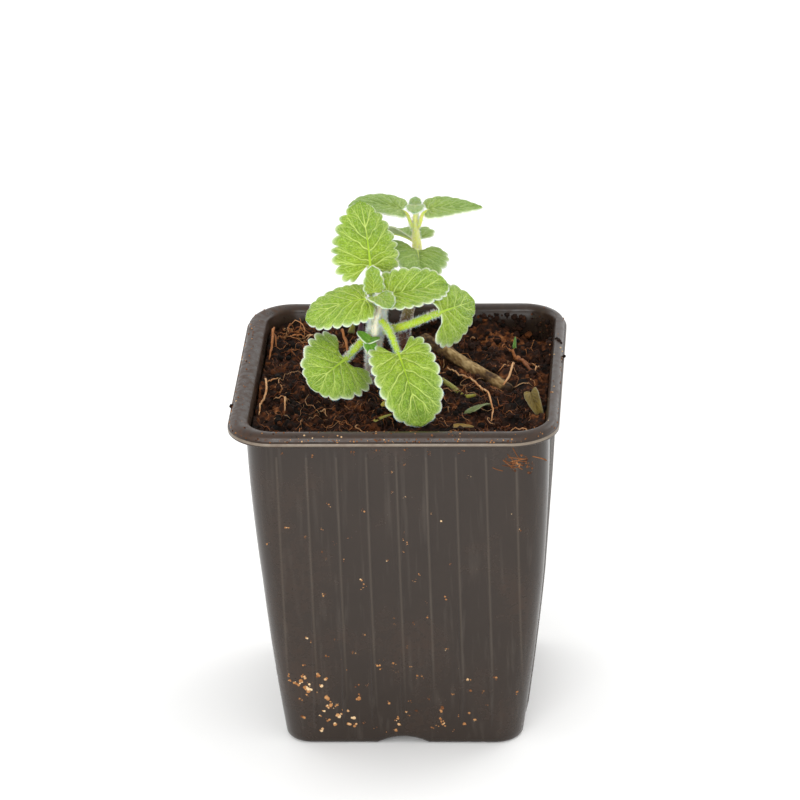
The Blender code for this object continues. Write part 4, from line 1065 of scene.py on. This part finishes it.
def curve(start, control, end, first_width, last_width, steps=8):
    """A quadratic Bezier curve on the flat leaf, with a width at each of its points."""
    t = np.linspace(0, 1, steps)[:, None]
    points = (1 - t) ** 2 * start + 2 * (1 - t) * t * control + t ** 2 * end
    return np.hstack([points, first_width + (last_width - first_width) * t])


def half_veins(leaf, outline, way, seed):
    """Veins of half a blade: the midrib, side veins that fan forward, and their forks.

    A side vein runs from a share of the length on the midrib to a share of the way along the
    outline, and arches forward by up to a tenth of its length. A fork leaves it part of the way
    and ends some way before or behind it near the edge. Widths are half widths, in millimetres.
    """
    wobble = np.random.default_rng(seed)
    length = leaf["length"]
    scale = 0.6 + 0.4 * length / 20

    def edge(share):
        return np.array([np.interp(share, way, outline[:, k]) for k in (0, 1)])

    def arched(start, end, arch, *widths):
        along = end - start
        return curve(start, (start + end) / 2 + arch * np.array([-along[1], along[0]]), end, *widths)

    lines = [np.array([[0, 0, 0.2 * scale], [0.5 * length, 0, 0.14 * scale],
                       [0.97 * length, 0, 0.07 * scale]])]
    for share, tip in zip(VEIN_STARTS, VEIN_ENDS):
        share = share + wobble.uniform(-0.02, 0.02) * (share > 0.1)
        tip = tip + wobble.uniform(-0.02, 0.02)
        start, end = np.array([share * length, 0.0]), 0.95 * edge(tip)
        side = arched(start, end, wobble.uniform(0.0, 0.09), 0.13 * scale, 0.075 * scale, 12)
        lines.append(side)
        for leaving, aside in VEIN_FORKS:
            leaving = leaving + wobble.uniform(-0.05, 0.05)
            k = leaving * (len(side) - 1)
            fork = side[int(k), :2] * (1 - k % 1) + side[int(k) + 1, :2] * (k % 1)
            target = 0.94 * edge(np.clip(tip + aside * (1 - 0.5 * leaving) * 1.4, 0.02, 0.99))
            lines.append(arched(fork, target, 0.12 * np.sign(aside), 0.09 * scale, 0.05 * scale, 6))
    return lines


def near_lines(x, y, lines):
    """How close each place lies to its nearest vein: a narrow bell of its width, a wide bell."""
    starts = np.concatenate([line[:-1] for line in lines])
    ends = np.concatenate([line[1:] for line in lines])
    run = ends[:, :2] - starts[:, :2]
    narrow, wide = np.zeros(x.size), np.zeros(x.size)
    px, py = x.ravel(), y.ravel()
    for a, d, w0, w1 in zip(starts, run, starts[:, 2], ends[:, 2]):
        t = np.clip(((px - a[0]) * d[0] + (py - a[1]) * d[1]) / (d @ d + 1e-9), 0, 1)
        gap = np.hypot(px - a[0] - t * d[0], py - a[1] - t * d[1])
        width = w0 + (w1 - w0) * t
        narrow = np.maximum(narrow, np.exp(-(gap / width) ** 2) * np.minimum(1, width / 0.12))
        wide = np.maximum(wide, np.exp(-(gap / (0.2 + 2.5 * width)) ** 2)
                          * np.minimum(1, width / 0.16))
    return narrow.reshape(x.shape), wide.reshape(x.shape)


def half_blade(leaf, side, u, steps, seed):
    """One half of a blade as a grid: its places on the flat leaf, its relief and its veins.

    u runs from the midrib to the edge and v along the outline from the junction to the tip. A
    line of one v starts on the midrib and ends on the outline, which the teeth notch by a
    rounded sine. The relief sinks along the veins, which wander a little, and two nets of cells,
    2 and 0.85 mm wide, pucker the skin between them. Painted shade darkens the grooves beside the
    veins and between the small cells.
    """
    length = leaf["length"]
    size = length / 20
    outline = half_outline(leaf, leaf["lobes"][0 if side > 0 else 1])
    spans = np.linalg.norm(np.diff(outline, axis=0), axis=1)
    way = np.concatenate([[0], np.cumsum(spans)]) / spans.sum()
    anchor = np.maximum(MESH_START * length * leaf["sinus"],
                        outline[:, 0] - MESH_SLANT * outline[:, 1])
    anchor = np.maximum.accumulate(anchor)
    anchor[-1] = length
    slope = np.gradient(outline, axis=0)
    outward = unit(np.stack([-slope[:, 1], slope[:, 0]], axis=1))
    row = outline - np.stack([anchor, 0 * anchor], axis=1)
    span = np.linalg.norm(row, axis=1) + 1e-9
    across = np.abs(np.sum(row * outward, axis=1)) / span
    room = np.clip((span / length - 0.1) / 0.2, 0, 1) * np.clip(1.5 * across - 0.3, 0, 1)

    v = np.linspace(0, 1, steps)
    phase = v * (leaf["teeth"] - 0.5)
    phase = phase + 0.22 * smooth_noise(phase[:, None] * 0.8, seed)
    uneven = 1 + 0.35 * smooth_noise(phase[:, None] * 0.7 + 9, seed)
    scallop = (np.abs(np.sin(math.pi * phase)) ** TOOTH_SHAPE - 1) * uneven
    depth = leaf["tooth"] * scallop * np.interp(v, way, room) * ease(v / 0.06)
    edge_x, edge_y = (np.interp(v, way, outline[:, k]) for k in (0, 1))
    out_x, out_y = (np.interp(v, way, outward[:, k]) for k in (0, 1))
    foot = np.interp(v, way, anchor)
    u = u[:, None]
    margin = np.clip((u - 0.55) / 0.45, 0, 1) ** 1.5
    x = foot + (edge_x - foot) * u + depth * out_x * margin
    y = edge_y * u + depth * out_y * margin

    lines = half_veins(leaf, outline, way, 10 * seed + (side > 0))
    flat = columns(x, side * y)
    sway_x, sway_y = (WANDER * size * smooth_noise(flat / WANDER_LENGTH, seed + k) * ease(y / 1.5)
                      for k in (2, 3))
    narrow, wide = near_lines(x + sway_x, y + sway_y, lines)
    walls = cell_walls(x + sway_x, side * y + sway_y, NET_CELL * size ** 0.5, seed)
    net = np.exp(-(walls / NET_LINE) ** 2) * (1 - u ** 14)
    knobs = cell_walls(x + sway_x, side * y + sway_y, KNOB_CELL, seed + 5)
    pucker = (0.55 * ease(walls / 0.5) + 0.45 * ease(knobs / 0.45)) * (1 - wide) * (1 - u ** 10)
    ink = np.maximum(narrow, NET_INK * net)
    # Painted shade: the grooves beside the veins and between the small cells are darkened in the
    # leaf's colour, where shade would fall.
    groove_shade = np.maximum(0.75 * wide, 0.55 * np.exp(-(knobs / KNOB_LINE) ** 2))
    furrow_shade = np.clip(groove_shade * (1 - ink), 0, 1) * (1 - u ** 14)
    return x, side * y, narrow * (1 - u ** 14), wide * (1 - u ** 14), pucker, ink, furrow_shade


def weld(points, faces, layers):
    """Merges points that share a place, and drops the triangles that this closes up."""
    _, keep, index = np.unique(np.round(points, 4), axis=0, return_index=True,
                               return_inverse=True)
    faces = index.ravel()[faces]
    whole = (faces != np.roll(faces, 1, axis=1)).all(axis=1)
    return points[keep], faces[whole], {key: layer[keep] for key, layer in layers.items()}


def build_blade(name, leaf, material, grid, seed, thickness=LEAF_THICKNESS):
    """A closed blade: upper and lower skins of both halves, joined round the edge.

    The skins stand half the thickness off the middle layer, along its normal. The upper one is
    quilted and furrowed along the veins, and under the lower one, which has a quarter of the rows,
    the veins stand proud. Returns the middle layer's edge, with its outward directions, and the
    upper skin, for the hairs.
    """
    rows, steps = grid
    size = leaf["length"] / 20
    points, faces, layers = [], [], {}
    edges, outs, skins = [], [], []
    for side in (1, -1):
        rims = []
        for below, count in enumerate((rows, max(6, int(UNDER_ROWS * rows)))):
            u = np.linspace(0, 1, count)
            x, y, narrow, wide, pucker, ink, furrow_shade = half_blade(leaf, side, u, steps, seed)
            u = u[:, None]
            centre = blade_point(leaf, x, y)
            normal = unit(np.cross(blade_point(leaf, x + NUDGE, y) - centre,
                                   blade_point(leaf, x, y + NUDGE) - centre))
            quilt = QUILT * size * (0.75 - wide) * (1 - u ** 6)
            half = thickness / 2 * (1 - 0.5 * u ** 10)
            if below:
                off = quilt - half - UNDER_VEIN * size * narrow
            else:
                off = quilt + half + PUCKERED * size * pucker - UPPER_VEIN * size * narrow
            skin = centre + normal * off[..., None]
            if not below:
                edges.append(centre[-1])
                outs.append(unit(centre[-1] - centre[-3]))
                skins.append((skin, normal))
            base = sum(map(len, points))
            sheet = base + grid_faces(count, steps)
            faces.append(sheet if (side > 0) != bool(below) else sheet[:, ::-1])
            rims.append(base + (count - 1) * steps + np.arange(steps - 1))
            points.append(skin.reshape(-1, 3))
            heart = np.exp(-(np.hypot(x, y) / leaf["length"] / 0.4) ** 2)
            for key, values in dict(vein=ink, furrow_shade=furrow_shade, under=float(below), rim=u ** 24,
                                    heart=heart).items():
                layers.setdefault(key, []).append(np.broadcast_to(values, x.shape).ravel())
        top, low = rims
        band = np.concatenate([columns(top, top + 1, low + 1), columns(top, low + 1, low)])
        faces.append(band if side > 0 else band[:, ::-1])
    points, faces, layers = weld(np.concatenate(points), np.concatenate(faces),
                                 {key: np.concatenate(part) for key, part in layers.items()})
    return make_mesh(name, points, faces, material, **layers), (edges, outs), skins


def leaf_tissue(name, green, deep, furrow_shade, vein, heart, pale=1.0):
    """Downy leaf: bright upper side with lighter veins, yellower near the stalk, a paler underside
    and edge, and a velvet sheen. Patches of about 4 mm vary its green, and light passes through.
    Painted shade, the darker furrow colour, lies in the grooves beside the veins and between the
    small cells. pale is the share of the down's whiteness that shows.
    """
    material, tree, shader = new_material(name)
    where = add_node(tree, "TexCoord", out="Object")
    patches = add_node(tree, "TexNoise", {0: where, "Scale": 260.0, "Detail": 5.0})
    down = add_node(tree, "TexNoise", {0: where, "Scale": 2600.0, "Detail": 3.0})
    spread = add_node(tree, "MapRange", (patches, 0.3, 0.7))
    colour = add_node(tree, "Mix", {0: spread, 6: deep, 7: green}, 2, data_type="RGBA")
    grain = add_node(tree, "MapRange", (down, 0.42, 0.66, 0.0, 0.24 * pale))
    colour = add_node(tree, "Mix", {0: grain, 6: colour, 7: "#c3d878"}, 2, data_type="RGBA")
    # Painted shade: the darker furrow colour is laid in the grooves beside the veins and between the
    # small cells.
    for layer, share, tint in (("heart", 0.5, heart), ("furrow_shade", 0.85, furrow_shade), ("vein", 0.9, vein),
                               ("rim", 0.8 * pale, "#f2f6e4"), ("under", 0.4 * pale, "#b9cf8a")):
        read = add_node(tree, "Attribute", out="Fac", attribute_name=layer)
        part = add_node(tree, "Math", (read, share), operation="MULTIPLY")
        colour = add_node(tree, "Mix", {0: part, 6: colour, 7: tint}, 2, data_type="RGBA")
    relief = add_node(tree, "Bump", {"Height": down, "Strength": 0.7, "Distance": 0.0002})
    set_inputs(shader, {
        "Base Color": colour, "Normal": relief, "Roughness": 0.55, "IOR": 1.42,
        "Specular IOR Level": 0.3, "Subsurface Weight": 0.14, "Subsurface Scale": 0.0003,
        "Subsurface Radius": SKIN_RADIUS, "Sheen Weight": 0.06, "Sheen Roughness": 0.4})
    return material


def edge_fringe(name, slot, edge, count, lengths):
    """White hairs round the blade's edge, pointing out of it in its own plane, and some off it."""
    middles, outs = (np.concatenate(part) for part in edge)
    weight = np.linalg.norm(np.diff(middles, axis=0, append=middles[-1:]), axis=1)
    weight[weight > 1.0] = 0.0
    k = chance.choice(len(middles), count, p=weight / weight.sum())
    roots = middles[k] + (middles[np.minimum(k + 1, len(middles) - 1)]
                          - middles[k]) * chance.random((count, 1))
    lean = unit(outs[k] + chance.normal(0, 0.38, (count, 3)))
    hair_coat(name + "_fringe", slot, roots, lean, lengths, FRINGE_RADIUS)


def down_coat(name, slot, skins, count, lengths):
    """Short hairs all over the upper face, evenly by area, leaning towards the edge."""
    roots, leans = [], []
    half = count // 2
    for top, normal in skins:
        du = (top[1:, :-1] - top[:-1, :-1]).reshape(-1, 3)
        dv = (top[:-1, 1:] - top[:-1, :-1]).reshape(-1, 3)
        area = np.linalg.norm(np.cross(du, dv), axis=-1)
        k = chance.choice(len(area), half, p=area / area.sum())
        step = du[k] * chance.random((half, 1))
        roots.append(top[:-1, :-1].reshape(-1, 3)[k] + step + dv[k] * chance.random((half, 1)))
        lean = normal[:-1, :-1].reshape(-1, 3)[k] + 0.6 * unit(du[k])
        leans.append(unit(lean + chance.normal(0, 0.3, (half, 3))))
    hair_coat(name + "_down", slot, np.concatenate(roots), np.concatenate(leans), lengths,
              DOWN_RADIUS)


def build_stalk(name, slot, leaf, path, girth, material, hairs):
    """The stalk, a Bezier curve from the stem's side to the blade, and the rib under the blade."""
    centre = np.array([np.interp(leaf["leaves_at"], path[:, 2], path[:, k]) for k in range(3)])
    joint = np.array(leaf["joint"])
    away = unit((joint - centre) * (1, 1, 0))
    root = centre + away * np.interp(leaf["leaves_at"], path[:, 2], girth) * 0.8
    along, _, upper = leaf_axes(leaf)
    sunk = STALK_SUNK * leaf["stalk"]
    meet = joint - upper * sunk
    pull = 0.4 * np.linalg.norm(meet - root)
    climb = math.radians(leaf["climb"])
    outset = math.cos(climb) * away + math.sin(climb) * np.array([0.0, 0.0, 1.0])
    t = np.linspace(0, 1, STALK_RINGS)[:, None]
    bow = ((1 - t)**3 * root + 3 * (1 - t)**2 * t * (root + outset * pull)
           + 3 * (1 - t) * t**2 * (meet - along * pull) + t**3 * meet)
    rib_x = np.linspace(0, 0.9 * leaf["length"], RIB_RINGS + 1)[1:]
    rib = blade_point(leaf, rib_x, 0 * rib_x, np.linspace(-sunk, -0.16, RIB_RINGS))
    girths, tone = (
        np.concatenate([np.linspace(*on_stalk, STALK_RINGS), np.linspace(*on_rib, RIB_RINGS)])
        for on_stalk, on_rib in (((1.2, 0.95), (0.9, 0.2)), ((1, 0.55), (0.5, 0.0))))
    girths = girths * leaf["stalk"]
    place_tubes(name + "_stalk", slot, material, [np.concatenate([bow, rib])], [girths],
                STALK_SIDES, np.append(np.repeat(tone, STALK_SIDES), [1, 0]),
                reference=upper + 0.01)
    stem_hairs(name + "_stalk_hairs", slot, bow, girths[:STALK_RINGS], hairs,
               STALK_HAIR_LENGTHS)


# A tissue's fourth colour is the painted shade for its furrows.
SHOOTS = {
    "front": dict(
        slot="leaf_green", grid=(50, 218), stalk_hairs=700, fringe=2300, down=1300,
        tissue=leaf_tissue("catmint_leaf", "#86a82a", "#648820", "#32500e", "#cfe07c", "#a2b822"),
        stalk_skin=plant_skin("leaf_stalk", "#92bb34", "#b8cc38")),
    "back": dict(
        slot="back_leaf_green", grid=(28, 142), stalk_hairs=150, fringe=400, down=300,
        tissue=leaf_tissue("catmint_leaf_back", "#83a04a", "#688a3a", "#4d6c30", "#b0c67a",
                           "#9cae40"),
        stalk_skin=plant_skin("leaf_stalk_back", "#b6cc5c", "#e0e67e")),
}
for number, (name, form) in enumerate(LEAVES.items()):
    leaf = dict(zip(LEAF_FORM, form))
    shoot = SHOOTS[name.split("_")[0]]
    slot = shoot["slot"]
    blade, edge, skins = build_blade(name + "_blade", leaf, shoot["tissue"], shoot["grid"],
                                     40 + number)
    place(blade, slot, name)
    build_stalk(name, slot, leaf, *stem_lines[name.split("_")[0]], shoot["stalk_skin"],
                shoot["stalk_hairs"])
    edge_fringe(name, slot, edge, shoot["fringe"], FRINGE_LENGTHS)
    down_coat(name, slot, skins, shoot["down"], DOWN_LENGTHS)

# Buds
# The youngest leaves, two at the tip of each shoot, where they grow out of the stem's end. They
# are still small, thick and grey with down.
BUD_THICKNESS = 0.55
BUD_GRID = (22, 90)
BUD_FRINGE = 460
BUD_FRINGE_LENGTHS = (0.15, 0.4)
BUD_DOWN = 600
BUD_DOWN_LENGTHS = (0.15, 0.35)
BUDS = {
    "front_bud_leaf_back": ((-6.0, -6.2, 125.2), 106, 68, 4, 7.4, 3.1, (0.3, 0.3), 0.0, 0.8,
                            -0.3, 0.15, -0.1, 5, 0.8),
    "front_bud_leaf_front": ((-4.9, -8.6, 124.9), 304, 10, 6, 6.8, 3.6, (0.5, 0.5), 0.0, 0.8,
                             0.7, 0.1, -0.1, 6, 0.4),
    "back_bud_leaf_back": ((3.7, 28.9, 136.2), 90, 62, 0, 2.3, 1.8, (0.2, 0.2), 0.0, 0.8,
                           0.0, 0.1, 0.0, 4, 0.2),
    "back_bud_leaf_front": ((3.9, 27.2, 136.6), 270, 8, 0, 4.6, 2.7, (0.2, 0.2), 0.0, 0.8,
                            0.5, 0.1, 0.0, 4, 0.25),
}
BUD_TISSUES = {
    "front": leaf_tissue("catmint_bud", "#7d9c22", "#628618", "#466414", "#b8cc62", "#9db01a", 0.8),
    "back": SHOOTS["back"]["tissue"],
}
for number, (name, form) in enumerate(BUDS.items()):
    shoot = name.split("_")[0]
    slot = SHOOTS[shoot]["slot"]
    blade, edge, skins = build_blade(name + "_blade", dict(zip(LEAF_FORM, form)),
                                     BUD_TISSUES[shoot], BUD_GRID, 60 + number, BUD_THICKNESS)
    place(blade, slot, name)
    edge_fringe(name, slot, edge, BUD_FRINGE, BUD_FRINGE_LENGTHS)
    down_coat(name, slot, skins, BUD_DOWN, BUD_DOWN_LENGTHS)

# Axil sprig
# Three tiny leaves on one short stalk in the axil of the low left leaf, fresher green than the
# rest and all but bare of hairs.
SPRIG_STALK = ((-7.3, -8.2, 110.4), (-7.6, -9.6, 111.0), (-7.6, -10.6, 112.6))
SPRIG_RADIUS = 0.5
SPRIG_THICKNESS = 0.5
SPRIG_GRID = (14, 70)
SPRIG_FRINGE = 160
SPRIG_FRINGE_LENGTHS = (0.15, 0.35)
# Each leaf's joint, heading, rise, length and half width.
SPRIG_LEAVES = (
    ((-7.7, -10.4, 112.5), 150, 42, 4.0, 1.9),
    ((-7.4, -10.5, 112.3), 20, 20, 3.2, 1.6),
    ((-7.5, -10.6, 112.0), 300, -38, 4.2, 2.0),
)
sprig_tissue = leaf_tissue("catmint_sprig", "#5c9e26", "#488a1c", "#346a14", "#8ebc44", "#74a62c")
sprig_path = smooth_path(SPRIG_STALK, 8)
place_tubes("sprig_stalk", "leaf_green", SHOOTS["front"]["stalk_skin"], [sprig_path],
            [np.full(len(sprig_path), SPRIG_RADIUS)], 12, 0.4, "front_axil_sprig")
for number, (joint, heading, rise, length, half_width) in enumerate(SPRIG_LEAVES):
    name = "sprig_leaf_%d" % number
    form = (joint, heading, rise, 0, length, half_width, (0.4, 0.4), 0.0, 0.8, 0.4, 0.1, 0.0, 4, 0.2)
    blade, edge, _ = build_blade(name, dict(zip(LEAF_FORM, form)), sprig_tissue, SPRIG_GRID,
                                 70 + number, SPRIG_THICKNESS)
    place(blade, "leaf_green")
    edge_fringe(name, "leaf_green", edge, SPRIG_FRINGE, SPRIG_FRINGE_LENGTHS)

# Litter
# What has fallen on the compost or grown in it: a yellowed curled leaf, scraps of others, a grass
# sprout, and stubs of cut shoots.
SCRAP_THICKNESS = 0.4
SCRAP_GRID = (14, 60)
# Each scrap's joint, heading, rise, roll, length, half width, bend, fold, cup, and its colours
# where it is bright and deep.
SCRAPS = {
    "yellowed_leaf": ((36.6, -10.6, 96.9), -79, -4, 24, 9.6, 2.1, 1.1, 0.7, 0.2, "#7d6a30",
                      "#46371a"),
    "leaf_scrap": ((20.2, -20.5, 95.7), 61, 9, -24, 9.4, 2.5, 0.7, 0.2, 0.2, "#5f6d2e", "#434f1f"),
    "straw_scrap": ((16.3, -28.9, 95.4), 6, 3, 10, 5.4, 0.9, 0.3, 0.2, 0.0, "#8c6f30", "#60491d"),
    "yellow_scrap": ((-3.2, -16.6, 95.9), 84, 12, -10, 4.0, 1.3, 0.6, 0.2, 0.1, "#b8a83a",
                     "#8d8028"),
    "straw_chip": ((-5.4, -25.7, 95.6), 46, 4, 0, 6.2, 0.6, 0.2, 0.1, 0.0, "#a59f38", "#807a28"),
    "grass_sprout": ((30.4, 25.0, 92.2), 80, 74, 0, 5.2, 0.6, 0.3, 0.3, 0.0, "#5f8a3a", "#466a2a"),
}
for number, (name, (*stance, bend, fold, cup, bright, deep)) in enumerate(SCRAPS.items()):
    form = (*stance, (0.2, 0.2), 0.0, 0.5, bend, fold, cup, 5, 0.15)
    tissue = leaf_tissue(name, bright, deep, deep, bright, bright, 0.15)
    blade, _, _ = build_blade(name, dict(zip(LEAF_FORM, form)), tissue, SCRAP_GRID, 80 + number,
                              SCRAP_THICKNESS)
    place(blade, "leaf_green")
# Each stub's points, whose height is above the compost at the first, its radius and its tone.
STUBS = (
    (((10.9, 7.0, 0.1), (14.5, 1.0, 0.6), (18.2, -5.6, 0.9), (20.9, -4.3, 0.7)), 0.8, 0.62),
    (((-15.9, 34.8, 0.4), (-15.2, 31.0, 3.6), (-14.6, 29.0, 6.0)), 0.9, 0.8),
    (((-13.4, 36.2, 0.4), (-12.8, 32.0, 4.2), (-12.2, 30.0, 6.6)), 0.85, 0.0),
)
stub_skin = plant_skin("cut_shoot", "#5a3648", "#a3a826", 0.2)
for number, (places, radius, tone) in enumerate(STUBS):
    path = smooth_path(places, 8)
    path[:, 2] += bed_height(path[:1, 0], path[:1, 1])
    place_tubes("cut_shoot_%d" % number, "leaf_green", stub_skin, [path],
                [radius * np.linspace(1.1, 0.6, len(path))], 10, tone)
